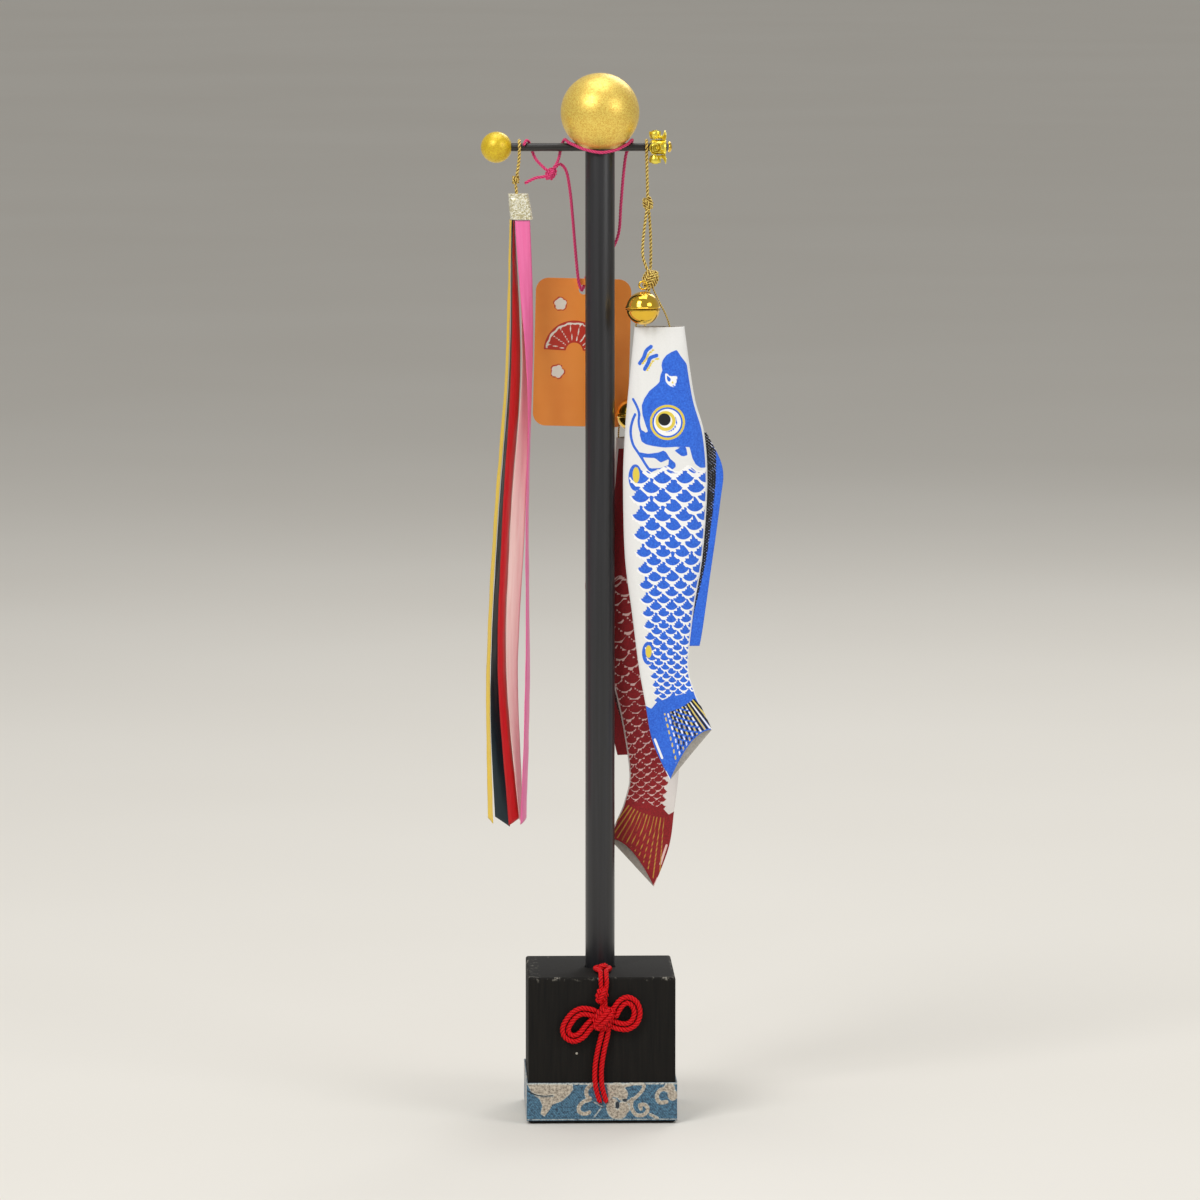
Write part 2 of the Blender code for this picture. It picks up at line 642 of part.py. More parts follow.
def make_carp_body(name, finish_material, mouth, mirror, tilt):
    """The cloth tube, filled out by the air in it and thin at the tail."""
    shape = bmesh.new()
    rings = []
    rows = 3 * (len(CARP_ROWS) - 1)
    columns = 8
    for row in range(rows + 1):
        ring = []
        for side in (-1, 1):
            for column in range(columns):
                across = -math.cos(math.pi * column / columns) * -side
                x, z, depth = carp_point(across, row / 3)
                full = 0.12 + 0.88 * math.sqrt(max(0.0, 1 - across**2))
                y = side * depth * full if 0 < column else 0.0
                ring.append(shape.verts.new((x, y, z)))
        rings.append(ring)
    around = 2 * columns
    for low, high in zip(rings, rings[1:]):
        for i in range(around):
            j = (i + 1) % around
            shape.faces.new((low[i], low[j], high[j], high[i]))
    for ring in (rings[0], rings[-1]):
        middle = sum((v.co for v in ring), Vector()) / around
        hub = shape.verts.new(middle)
        for i in range(around):
            shape.faces.new((ring[i], ring[(i + 1) % around], hub))
    place_carp(shape, mouth, mirror, tilt)
    from_bmesh(name, shape, finish_material)


def make_carp_fin(name, finish_material, mouth, mirror, tilt):
    """The flat cloth fin sewn along the carp's back."""
    outline = [*CARP_FIN, CARP_FIN_FOOT]
    back = []
    for i in range(9):
        position = 1.95 + (5.66 - 1.95) * (1 - i / 8)
        x, z, _ = carp_point(1.0, position)
        back.append((x + GAP / MM, z))
    shape = plate(outline + back, FIN_THICKNESS / MM, 0)
    bmesh.ops.triangulate(shape, faces=shape.faces)
    place_carp(shape, mouth, mirror, tilt)
    from_bmesh(name, shape, finish_material)


def make_bell(mats, prefix, centre):
    """A jingle bell: two pressed half shells that meet at a seam, a shank, a slot and a pellet."""
    outer = BELL_DIAMETER / 2
    inner = outer - BELL_WALL
    seam = GAP / 2
    start = math.degrees(math.acos(-seam / outer))
    upper = arc(outer, 0, start, 180, 9)
    inside = arc(inner, 0, 180, math.degrees(math.acos(-seam / inner)), 8)
    shape = turned(upper + inside, 24, "Z", centre)
    from_bmesh(f"{prefix}_bell_top", shape, mats["polished_gold"])
    shape = turned(
        [(r, -h) for r, h in upper] + [(r, -h) for r, h in inside], 24, "Z", centre
    )
    lower = from_bmesh(f"{prefix}_bell_bottom", shape, mats["polished_gold"])
    height = 1.5 * outer
    slot = box((1.5 * outer, BELL_SLOT, height), centre - Vector((0, 0, 0.45 * outer + height / 2)))
    cut(lower, helper(f"{prefix}_bell_slot_cutter", slot))
    pellet = bmesh.new()
    bmesh.ops.create_icosphere(pellet, subdivisions=2, radius=PELLET_DIAMETER / 2)
    drop = inner - GAP - PELLET_DIAMETER / 2
    pellet.transform(Matrix.Translation(centre - Vector((0, 0, drop))))
    from_bmesh(f"{prefix}_bell_pellet", pellet, mats["polished_gold"])


def make_shank(mats, prefix, centre):
    """The wire eye on top of the bell."""
    radius = 1.2 * MM
    foot = centre + Vector((0, 0, BELL_DIAMETER / 2 + GAP))
    turns = [math.radians(-90 + 30 + i * (360 - 60) / 12) for i in range(13)]
    points = [foot + Vector((radius * math.cos(a), 0, radius + 0.45 * MM + radius * math.sin(a))) for a in turns]
    cord(f"{prefix}_bell_eye", points, 0.6 * MM, mats["polished_gold"], 0.7 * MM)


def make_carps(mats):
    gold = mats["gold_cord"]
    loop_x = 14.2 * MM
    upper = BAR + Vector((14.6, 0, -17.2)) * MM
    top = (14.5 * MM, 0, upper.z + 3.1 * MM)
    cord("carp_hanging_loop", bar_loop(loop_x, top, 0.65 * MM), GOLD_CORD, gold, 1.1 * GOLD_CORD)
    knot("carp_upper_knot", upper, (4.4 * MM, 3.8 * MM, 4.8 * MM), gold)

    lower = BAR + Vector((15.3, -3.0, -40.1)) * MM
    route = [
        BAR + Vector(p) * MM
        for p in ((14.1, -1.0, -20.2), (13.5, -1.9, -24.5), (13.0, -2.6, -29.5), (13.0, -2.9, -33.0), (13.9, -3.0, -36.1))
    ]
    cord("blue_carp_cord", route, GOLD_CORD, gold)
    knot("blue_carp_knot", lower, (6.0 * MM, 4.4 * MM, 6.8 * MM), gold, 4)
    bell = BAR + Vector((12.9, -8.3, -48.6)) * MM
    make_bell(mats, "blue", bell)
    make_shank(mats, "blue", bell)
    threads = (
        ("left", ((14.0, -2.6, -43.7), (12.6, -2.2, -47.5), (11.3, -3.0, -51.0), (10.9, -4.4, -54.0))),
        ("right", ((16.4, -2.6, -43.7), (18.2, -2.6, -47.5), (20.0, -3.2, -51.0), (21.0, -4.4, -54.0))),
    )
    for side, points in threads:
        route = [BAR + Vector(p) * MM for p in points]
        cord(f"blue_mouth_thread_{side}", route, MOUTH_THREAD, gold)
    make_carp_body("blue_carp_body", mats["blue_cloth"], BLUE_MOUTH, False, 0.0)
    make_carp_fin("blue_carp_fin", mats["blue_cloth"], BLUE_MOUTH, False, 0.0)

    route = [
        BAR + Vector(p) * MM
        for p in (
            (15.0, 1.0, -20.2),
            (15.5, 2.4, -27.0),
            (15.6, 3.8, -36.0),
            (15.0, 5.2, -46.0),
            (13.8, 6.2, -56.0),
            (12.4, 6.8, -65.0),
            (11.6, 6.9, -70.2),
        )
    ]
    cord("red_carp_cord", route, GOLD_CORD, gold)
    lower = BAR + Vector((11.4, 6.9, -74.0)) * MM
    knot("red_carp_knot", lower, (5.2 * MM, 3.8 * MM, 6.2 * MM), gold, 4)
    bell = BAR + Vector((10.2, 4.3, -82.2)) * MM
    threads = (
        ("left", ((10.2, 8.7, -77.3), (8.2, 10.2, -81.5), (6.4, 9.6, -85.4), (5.9, 8.4, -88.6))),
        ("right", ((12.6, 8.7, -77.3), (15.6, 10.2, -81.5), (18.0, 9.6, -85.2), (18.8, 8.4, -87.8))),
    )
    for side, points in threads:
        route = [BAR + Vector(p) * MM for p in points]
        cord(f"red_mouth_thread_{side}", route, MOUTH_THREAD, gold)
    make_bell(mats, "red", bell)
    make_shank(mats, "red", bell)
    make_carp_body("red_carp_body", mats["red_cloth"], RED_MOUTH, True, RED_TILT)
    make_carp_fin("red_carp_fin", mats["red_cloth"], RED_MOUTH, True, RED_TILT)


# ---- card tag --------------------------------------------------------------------------------


def make_tag(mats):
    """The card tag behind the pole and the pink cord that ties it to the bar."""
    outline = rounded_plate(TAG_WIDTH, TAG_HEIGHT, TAG_CORNER)
    y = POLE_DIAMETER / 2 + TAG_BEHIND_POLE
    middle = Vector((TAG_X, 0, BAR_Z + TAG_TOP - TAG_HEIGHT / 2))
    shape = plate(outline, TAG_THICKNESS, y)
    shape.transform(Matrix.Translation(middle) @ Matrix.Rotation(TAG_TILT, 4, "Y"))
    tag = from_bmesh("tag", shape, mats["card"])
    hole = Vector((TAG_X, y, BAR_Z + TAG_TOP - TAG_HOLE_DROP))
    cutter = rod(TAG_HOLE_DIAMETER / 2, -TAG_CORNER, TAG_CORNER, 16, "Y", hole)
    cut(tag, helper("tag_hole_cutter", cutter))

    pink = mats["pink_cord"]
    side = POLE_DIAMETER / 2
    hole_local = hole - BAR
    route = [
        (-12.2, 1.9, -5.3),
        (-10.2, 2.6, -7.6),
        (-9.0, 3.8, -14.0),
        (-8.2, 5.6, -22.0),
        (-7.4, 8.4, -31.0),
        (hole_local.x / MM - 1.2, y / MM - 1.6, -41.0),
        (hole_local.x / MM - 0.3, y / MM - 1.1, hole_local.z / MM + 0.2),
        (hole_local.x / MM, y / MM, hole_local.z / MM - 0.1),
        (hole_local.x / MM + 0.5, y / MM + 1.2, hole_local.z / MM + 0.6),
        (hole_local.x / MM + 1.0, y / MM + 1.2, -41.5),
        (hole_local.x / MM + 2.8, y / MM + 0.4, -38.2),
        (3.0, 8.4, -33.0),
        (5.8, 6.4, -27.0),
        (6.5, 4.6, -18.0),
        (7.2, 3.2, -9.0),
        (8.0, 2.6, -2.4),
    ]
    cord("tag_cord", [BAR + Vector(p) * MM for p in route], PINK_CORD, pink, 1.6 * PINK_CORD)

    reach = BAR_DIAMETER / 2 + GAP + PINK_CORD / 2
    knot("tag_cord_knot", BAR + Vector((-15.0, -0.6, -8.1)) * MM, (4.2 * MM, 3.2 * MM, 4.8 * MM), pink)
    tie = [BAR + Vector(p) * MM for p in ((-17.0, -1.0, -6.3), (-19.6, 1.5, -3.6))]
    tie += [
        BAR + Vector((x * MM, reach * math.cos(math.radians(a)), reach * math.sin(math.radians(a))))
        for x, a in ((-21.4, -15), (-22.0, 40), (-22.2, 90), (-22.0, 140), (-21.4, 190), (-20.6, 225))
    ]
    cord("tag_cord_left_hitch", tie, PINK_CORD, pink, 1.1 * PINK_CORD)
    front = side + GAP + PINK_CORD / 2
    back = reach + 0.1 * MM
    tie = [BAR + Vector(p) * MM for p in ((-13.4, -1.6, -5.2), (-12.6, 0.6, -3.6))]
    tie += [
        BAR + Vector((-12.0 * MM, back, -1.2 * MM)),
        BAR + Vector((-11.3 * MM, back - 0.2 * MM, 1.4 * MM)),
        BAR + Vector((-10.6 * MM, 0.3 * MM, back + 0.2 * MM)),
        BAR + Vector((-9.6 * MM, -back + 0.4 * MM, 1.6 * MM)),
        BAR + Vector((-7.1 * MM, -3.7 * MM, 0.5 * MM)),
        BAR + Vector((-4.7 * MM, -front + 0.2 * MM, -0.4 * MM)),
        BAR + Vector((0, -front - 0.45 * MM, -1.3 * MM)),
        BAR + Vector((4.6 * MM, -front + 0.2 * MM, -0.6 * MM)),
        BAR + Vector((7.0 * MM, -3.6 * MM, 0.4 * MM)),
        BAR + Vector((8.5 * MM, -back + 0.1 * MM, 1.1 * MM)),
        BAR + Vector((9.7 * MM, -0.2 * MM, back)),
        BAR + Vector((9.8 * MM, 1.3 * MM, back - 0.4 * MM)),
        BAR + Vector((9.2 * MM, back + 0.1 * MM, 0.4 * MM)),
    ]
    cord("tag_cord_ball_turn", tie, PINK_CORD, pink, 1.1 * PINK_CORD)
    tail = [BAR + Vector(p) * MM for p in ((-17.4, -1.0, -9.0), (-19.6, -1.3, -9.3), (-21.6, -1.4, -10.2), (-23.0, -1.4, -11.0))]
    cord("tag_cord_tail", tail, PINK_CORD, pink, 1.1 * PINK_CORD)


def main():
    for old in list(bpy.data.objects):
        bpy.data.objects.remove(old, do_unlink=True)
    mats = make_materials()
    make_base(mats)
    make_band(mats)
    make_pole(mats)
    make_finial(mats)
    make_bar(mats)
    make_end_cap(mats)
    make_wheel(mats)
    make_bow(mats)
    make_ribbons(mats)
    make_carps(mats)
    make_tag(mats)


if __name__ == "__main__":
    main()
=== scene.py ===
"""Looks of the miniature carp streamer stand: wood, gold, cords, satin and printed cloth.

Metres, +Z up, the front at -Y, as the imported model. Lengths named *_mm are millimetres.
"""

import logging
import math
from dataclasses import dataclass
from enum import Enum
from typing import Any, Callable, Sequence

import bpy
import numpy as np
from mathutils import Matrix, Vector, noise

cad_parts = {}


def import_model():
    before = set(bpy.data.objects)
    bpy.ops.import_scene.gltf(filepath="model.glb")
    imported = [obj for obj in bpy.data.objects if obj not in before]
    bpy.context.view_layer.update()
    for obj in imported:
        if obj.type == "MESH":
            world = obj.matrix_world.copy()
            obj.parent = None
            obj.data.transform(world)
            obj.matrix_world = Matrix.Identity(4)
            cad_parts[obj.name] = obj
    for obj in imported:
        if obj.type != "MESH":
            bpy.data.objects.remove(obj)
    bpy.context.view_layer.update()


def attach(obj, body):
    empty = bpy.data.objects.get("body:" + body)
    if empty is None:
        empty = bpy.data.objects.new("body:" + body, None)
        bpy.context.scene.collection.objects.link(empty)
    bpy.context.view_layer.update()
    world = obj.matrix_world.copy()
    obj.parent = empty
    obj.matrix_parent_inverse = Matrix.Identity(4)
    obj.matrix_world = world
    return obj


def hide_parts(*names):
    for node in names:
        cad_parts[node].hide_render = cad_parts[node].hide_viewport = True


logging.basicConfig(level=logging.INFO, format="%(message)s")
log = logging.getLogger("carp_stand")

MM = 0.001
BAR = Vector((0.0, 0.0, 0.2974))
BASE = 45 * MM
BALL_Z = 308 * MM
FRONT = -BASE / 2

Place = tuple[float, float, float]
Flat = tuple[float, float]
Tree = bpy.types.NodeTree


class Body(str, Enum):
    """The moving bodies of the stand."""

    STAND = "root"
    WHEEL = "flower_wheel"
    HANGER = "ribbon_hanger"
    RIBBONS = "ribbons"
    BLUE = "blue_carp"
    RED = "red_carp"
    TAG = "tag_card"


# ---- small tools -----------------------------------------------------------------------------


def colour(code: str) -> tuple[float, float, float, float]:
    """Turns an sRGB hex colour to the linear one that shaders take.

    Args:
        code: six hex digits, with or without a leading #.

    Returns:
        Linear red, green and blue, and 1 for alpha.
    """
    code = code.lstrip("#")
    parts = [int(code[i : i + 2], 16) / 255 for i in (0, 2, 4)]
    linear = [c / 12.92 if c <= 0.04045 else ((c + 0.055) / 1.055) ** 2.4 for c in parts]
    return (linear[0], linear[1], linear[2], 1.0)


def add(
    tree: Tree, kind: str, values: dict | None = None, links: dict | None = None, **settings: Any
) -> bpy.types.Node:
    """Adds a node to a tree.

    Args:
        tree: the material's node tree.
        kind: the node's type, such as ShaderNodeMix.
        values: constants for its sockets, by name or number.
        links: output sockets that feed its sockets, by name or number.
        **settings: the node's own properties.

    Returns:
        The new node.
    """
    made = tree.nodes.new(kind)
    for key, value in settings.items():
        setattr(made, key, value)
    for key, value in (values or {}).items():
        made.inputs[key].default_value = value
    for key, source in (links or {}).items():
        tree.links.new(source, made.inputs[key])
    return made


def start_material(name: str, **sockets: Any) -> tuple[bpy.types.Material, Tree, bpy.types.Node]:
    """Makes a material and sets constants on its shader.

    Args:
        name: the material's name.
        **sockets: Principled sockets with _ for a space, such as Base_Color.

    Returns:
        The material, its node tree and its Principled shader.
    """
    made = bpy.data.materials.new(name)
    made.use_nodes = True
    shader = made.node_tree.nodes["Principled BSDF"]
    for key, value in sockets.items():
        shader.inputs[key.replace("_", " ")].default_value = value
    return made, made.node_tree, shader


def bands(period_mm: float) -> float:
    """The wave texture's scale whose bands repeat every so many millimetres."""
    return math.tau / 20 / (period_mm * MM)


def deselect() -> None:
    """Leaves nothing selected, so that the next operator acts on its own piece."""
    for other in list(bpy.context.selected_objects):
        other.select_set(False)
    bpy.context.view_layer.objects.active = None


def settle(piece: bpy.types.Object) -> bpy.types.Object:
    """Puts a piece's place, turn and size into its mesh, and leaves its object at the origin."""
    bpy.context.view_layer.update()
    piece.data.transform(piece.matrix_world)
    piece.matrix_world = Matrix.Identity(4)
    return piece


def apply(piece: bpy.types.Object, kind: str, **settings: Any) -> None:
    """Adds a modifier of a kind with its settings, and applies it."""
    step = piece.modifiers.new(kind.lower(), kind)
    for key, value in settings.items():
        setattr(step, key, value)
    deselect()
    piece.select_set(True)
    bpy.context.view_layer.objects.active = piece
    bpy.ops.object.modifier_apply(modifier=step.name)


def smooth(piece: bpy.types.Object, angle: float = 40.0) -> None:
    """Shades a piece smooth, with edges sharper than the angle in degrees kept crisp."""
    deselect()
    piece.select_set(True)
    bpy.context.view_layer.objects.active = piece
    bpy.ops.object.shade_smooth_by_angle(angle=math.radians(angle))


def dress(piece: bpy.types.Object, finish: bpy.types.Material) -> None:
    """Gives a piece one material."""
    piece.data.materials.clear()
    piece.data.materials.append(finish)


def take_place(piece: bpy.types.Object, body: Body, *nodes: str) -> None:
    """Lets a piece ride on a body in place of its CAD nodes."""
    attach(piece, body.value)
    if nodes:
        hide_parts(*nodes)
    log.info("%s: %d faces on %s", piece.name, len(piece.data.polygons), body.value)


def mesh_piece(name: str, points: np.ndarray, faces: Sequence[Sequence[int]]) -> bpy.types.Object:
    """Makes a piece from points and faces.

    Args:
        name: the piece's name.
        points: one row of x, y, z in metres for each vertex.
        faces: the vertex numbers round each face.

    Returns:
        The new object, with smooth faces that point outwards as given.
    """
    mesh = bpy.data.meshes.new(name)
    mesh.from_pydata(np.asarray(points, float).tolist(), [], [list(map(int, f)) for f in faces])
    mesh.polygons.foreach_set("use_smooth", np.ones(len(mesh.polygons), bool))
    mesh.update()
    made = bpy.data.objects.new(name, mesh)
    bpy.context.scene.collection.objects.link(made)
    return made


def store(piece: bpy.types.Object, name: str, values: np.ndarray) -> None:
    """Keeps one number for each vertex as a named attribute."""
    kept = piece.data.attributes.new(name, "FLOAT", "POINT")
    kept.data.foreach_set("value", np.asarray(values, np.float32))


def join(name: str, pieces: Sequence[bpy.types.Object]) -> bpy.types.Object:
    """Joins several pieces into the first one, under a new name."""
    deselect()
    for piece in pieces:
        piece.select_set(True)
    bpy.context.view_layer.objects.active = pieces[0]
    if len(pieces) > 1:
        bpy.ops.object.join()
    pieces[0].name = name
    pieces[0].data.name = name
    return pieces[0]


def smooth_route(points: Sequence[Sequence[float]], spacing: float) -> list[Vector]:
    """Follows a smooth curve through some points.

    Args:
        points: the places the curve goes through.
        spacing: about how far apart the points on it lie.

    Returns:
        Points along the curve, evenly spaced.
    """
    route = [Vector(p) for p in points]
    route = [2 * route[0] - route[1], *route, 2 * route[-1] - route[-2]]
    fine = []
    for before, start, end, after in zip(route, route[1:], route[2:], route[3:]):
        for i in range(24):
            t = i / 24
            fine.append(
                0.5
                * (
                    2 * start
                    + (end - before) * t
                    + (2 * before - 5 * start + 4 * end - after) * t**2
                    + (3 * start - before - 3 * end + after) * t**3
                )
            )
    fine.append(route[-2])
    places = np.array([tuple(p) for p in fine])
    lengths = np.concatenate([[0.0], np.cumsum(np.linalg.norm(np.diff(places, axis=0), axis=1))])
    count = max(2, round(lengths[-1] / spacing))
    wanted = np.linspace(0, lengths[-1], count + 1)
    return [
        Vector(p)
        for p in np.stack([np.interp(wanted, lengths, places[:, k]) for k in range(3)], axis=1)
    ]


# ---- drawing on cloth: signed distances in millimetres -----------------------------------------


def to_line(at: np.ndarray, line: Sequence[Flat]) -> np.ndarray:
    """Distance from each point of at, shape (n, 2), to a polyline."""
    best = np.full(len(at), 1e9)
    for a, b in zip(line, line[1:]):
        start, way = np.array(a, float), np.array(b, float) - np.array(a, float)
        share = np.clip(((at - start) @ way) / max(float(way @ way), 1e-9), 0, 1)
        best = np.minimum(best, np.linalg.norm(at - start - share[:, None] * way, axis=1))
    return best


def stroke(at: np.ndarray, line: Sequence[Flat], width: float) -> np.ndarray:
    """How far inside a brush stroke along a smooth line each point lies, below zero outside it."""
    route = smooth_route([(x, y, 0.0) for x, y in line], 0.4)
    return width / 2 - to_line(at, [(p.x, p.y) for p in route])


def shape(at: np.ndarray, outline: Sequence[Flat]) -> np.ndarray:
    """How far inside a closed outline each point lies, below zero outside it."""
    closed = [*outline, outline[0]]
    inside = np.zeros(len(at), bool)
    for (x0, y0), (x1, y1) in zip(closed, closed[1:]):
        crosses = (y0 > at[:, 1]) != (y1 > at[:, 1])
        level = np.where(crosses, (at[:, 1] - y0) / ((y1 - y0) or 1e-9), 0.0)
        inside ^= crosses & (at[:, 0] < x0 + level * (x1 - x0))
    return np.where(inside, 1.0, -1.0) * to_line(at, closed)


def disc(at: np.ndarray, centre: Flat, radius: float, height: float | None = None) -> np.ndarray:
    """How far inside a round or oval spot each point lies."""
    tall = height or radius
    scaled = np.hypot((at[:, 0] - centre[0]) / radius, (at[:, 1] - centre[1]) / tall)
    return (1 - scaled) * min(radius, tall)


def ring(at: np.ndarray, centre: Flat, radius: float, width: float) -> np.ndarray:
    """How far inside a ring each point lies."""
    return width / 2 - np.abs(np.hypot(at[:, 0] - centre[0], at[:, 1] - centre[1]) - radius)


def over(*layers: np.ndarray) -> np.ndarray:
    """The union of several drawn areas."""
    return np.maximum.reduce(layers)


# ---- finishes --------------------------------------------------------------------------------


@dataclass(frozen=True)
class StainedWood:
    """Black-stained wood: nearly black, with a faint vertical grain and rubbed pale edges."""

    name: str = "black_stained_wood"
    tone: str = "#0D0C0B"
    light_tone: str = "#201D19"
    scuff: str = "#A9A498"

    def make(self) -> bpy.types.Material:
        """Builds the material."""
        made, tree, shader = start_material(
            self.name, Roughness=0.55, IOR=1.4, Specular_IOR_Level=0.25
        )
        coord = add(tree, "ShaderNodeTexCoord")
        # the grain runs up the block, about 0.8 mm across
        grain_at = add(
            tree, "ShaderNodeMapping", {"Scale": (1250, 1250, 60)}, {0: coord.outputs["Object"]}
        )
        grain = add(
            tree, "ShaderNodeTexNoise", {"Scale": 1.0, "Detail": 5.0, "Roughness": 0.6},
            {"Vector": grain_at.outputs[0]}
        )
        wood = add(tree, "ShaderNodeValToRGB", links={0: grain.outputs[0]})
        wood.color_ramp.elements[0].position, wood.color_ramp.elements[0].color = 0.3, colour(
            self.tone
        )
        wood.color_ramp.elements[1].position, wood.color_ramp.elements[1].color = 0.85, colour(
            self.light_tone
        )
        # rubbed edges: how near a point lies to two faces of the block at once
        apart = add(tree, "ShaderNodeSeparateXYZ", links={0: coord.outputs["Object"]})
        side = add(tree, "ShaderNodeMath", links={0: apart.outputs[0]}, operation="ABSOLUTE")
        deep = add(tree, "ShaderNodeMath", links={0: apart.outputs[1]}, operation="ABSOLUTE")
        high = add(
            tree, "ShaderNodeMath", {1: BASE / 2}, {0: apart.outputs[2]}, operation="SUBTRACT"
        )
        up = add(tree, "ShaderNodeMath", links={0: high.outputs[0]}, operation="ABSOLUTE")
        two = add(
            tree, "ShaderNodeMath", links={0: side.outputs[0], 1: deep.outputs[0]}, operation="ADD"
        )
        three = add(
            tree, "ShaderNodeMath", links={0: two.outputs[0], 1: up.outputs[0]}, operation="ADD"
        )
        low = add(
            tree, "ShaderNodeMath", links={0: side.outputs[0], 1: deep.outputs[0]},
            operation="MINIMUM"
        )
        least = add(
            tree, "ShaderNodeMath", links={0: low.outputs[0], 1: up.outputs[0]}, operation="MINIMUM"
        )
        middle = add(
            tree, "ShaderNodeMath", links={0: three.outputs[0], 1: least.outputs[0]},
            operation="SUBTRACT"
        )
        edge = add(
            tree, "ShaderNodeMapRange", {1: BASE - 1.3 * MM, 2: BASE - 0.5 * MM},
            {0: middle.outputs[0]}
        )
        rub = add(
            tree, "ShaderNodeTexNoise", {"Scale": 420.0, "Detail": 6.0, "Roughness": 0.75},
            {"Vector": coord.outputs["Object"]}
        )
        broken = add(tree, "ShaderNodeMapRange", {1: 0.55, 2: 0.68}, {0: rub.outputs[0]})
        # the upper edges are rubbed pale, and the left corner of the top gets a pale patch of its
        # own
        top = add(tree, "ShaderNodeMapRange", {1: 20.6 * MM, 2: 22.0 * MM}, {0: high.outputs[0]})
        corner = add(
            tree, "ShaderNodeMapRange", {1: -18.6 * MM, 2: -19.4 * MM, 4: 0.55},
            {0: apart.outputs[0]}
        )
        place = add(
            tree, "ShaderNodeMath", links={0: edge.outputs[0], 1: corner.outputs[0]},
            operation="MAXIMUM"
        )
        upper = add(
            tree, "ShaderNodeMath", links={0: place.outputs[0], 1: top.outputs[0]},
            operation="MULTIPLY"
        )
        edge_wear_and_corner_patch = add(
            tree, "ShaderNodeMath", links={0: upper.outputs[0], 1: broken.outputs[0]},
            operation="MULTIPLY"
        )
        # a few specks of dust, 0.3 mm across
        specks = add(
            tree, "ShaderNodeTexVoronoi", {"Scale": 260.0, "Randomness": 1.0},
            {"Vector": coord.outputs["Object"]}
        )
        rare = add(tree, "ShaderNodeSeparateColor", links={0: specks.outputs["Color"]})
        few = add(
            tree, "ShaderNodeMath", {1: 0.965}, {0: rare.outputs[0]}, operation="GREATER_THAN"
        )
        tiny = add(
            tree, "ShaderNodeMath", {1: 0.10}, {0: specks.outputs["Distance"]},
            operation="LESS_THAN"
        )
        dust = add(
            tree, "ShaderNodeMath", links={0: few.outputs[0], 1: tiny.outputs[0]},
            operation="MULTIPLY"
        )
        marks = add(
            tree, "ShaderNodeMath", links={0: edge_wear_and_corner_patch.outputs[0], 1: dust.outputs[0]},
            operation="MAXIMUM"
        )
        mixed = add(
            tree, "ShaderNodeMix", {7: colour(self.scuff)},
            {0: marks.outputs[0], 6: wood.outputs[0]}, data_type="RGBA"
        )
        rough = add(tree, "ShaderNodeMapRange", {3: 0.6, 4: 0.8}, {0: grain.outputs[0]})
        bump = add(
            tree, "ShaderNodeBump", {"Strength": 0.25, "Distance": 0.05 * MM},
            {"Height": grain.outputs[0]}
        )
        tree.links.new(mixed.outputs[2], shader.inputs["Base Color"])
        tree.links.new(rough.outputs[0], shader.inputs["Roughness"])
        tree.links.new(bump.outputs[0], shader.inputs["Normal"])
        return made


@dataclass(frozen=True)
class PaintedDowel:
    """Satin charcoal paint on a round dowel, with the wood's long grain just showing through."""

    name: str = "satin_charcoal_paint"
    dark: str = "#19191C"
    light: str = "#28282C"
    along: int = 2

    def make(self) -> bpy.types.Material:
        """Builds the material; along is the axis that the dowel runs on, 0 for X and 2 for Z."""
        made, tree, shader = start_material(self.name, Roughness=0.36, IOR=1.5)
        shader.inputs["Coat Weight"].default_value = 0.15
        shader.inputs["Coat Roughness"].default_value = 0.3
        coord = add(tree, "ShaderNodeTexCoord")
        stretch = [900.0, 900.0, 900.0]
        stretch[self.along] = 18.0
        at = add(tree, "ShaderNodeMapping", {"Scale": tuple(stretch)}, {0: coord.outputs["Object"]})
        grain = add(
            tree, "ShaderNodeTexNoise", {"Scale": 1.0, "Detail": 4.0}, {"Vector": at.outputs[0]}
        )
        ramp = add(tree, "ShaderNodeValToRGB", links={0: grain.outputs[0]})
        ramp.color_ramp.elements[0].position, ramp.color_ramp.elements[0].color = 0.3, colour(
            self.dark
        )
        ramp.color_ramp.elements[1].position, ramp.color_ramp.elements[1].color = 0.75, colour(
            self.light
        )
        bump = add(
            tree, "ShaderNodeBump", {"Strength": 0.15, "Distance": 0.03 * MM},
            {"Height": grain.outputs[0]}
        )
        tree.links.new(ramp.outputs[0], shader.inputs["Base Color"])
        tree.links.new(bump.outputs[0], shader.inputs["Normal"])
        return made


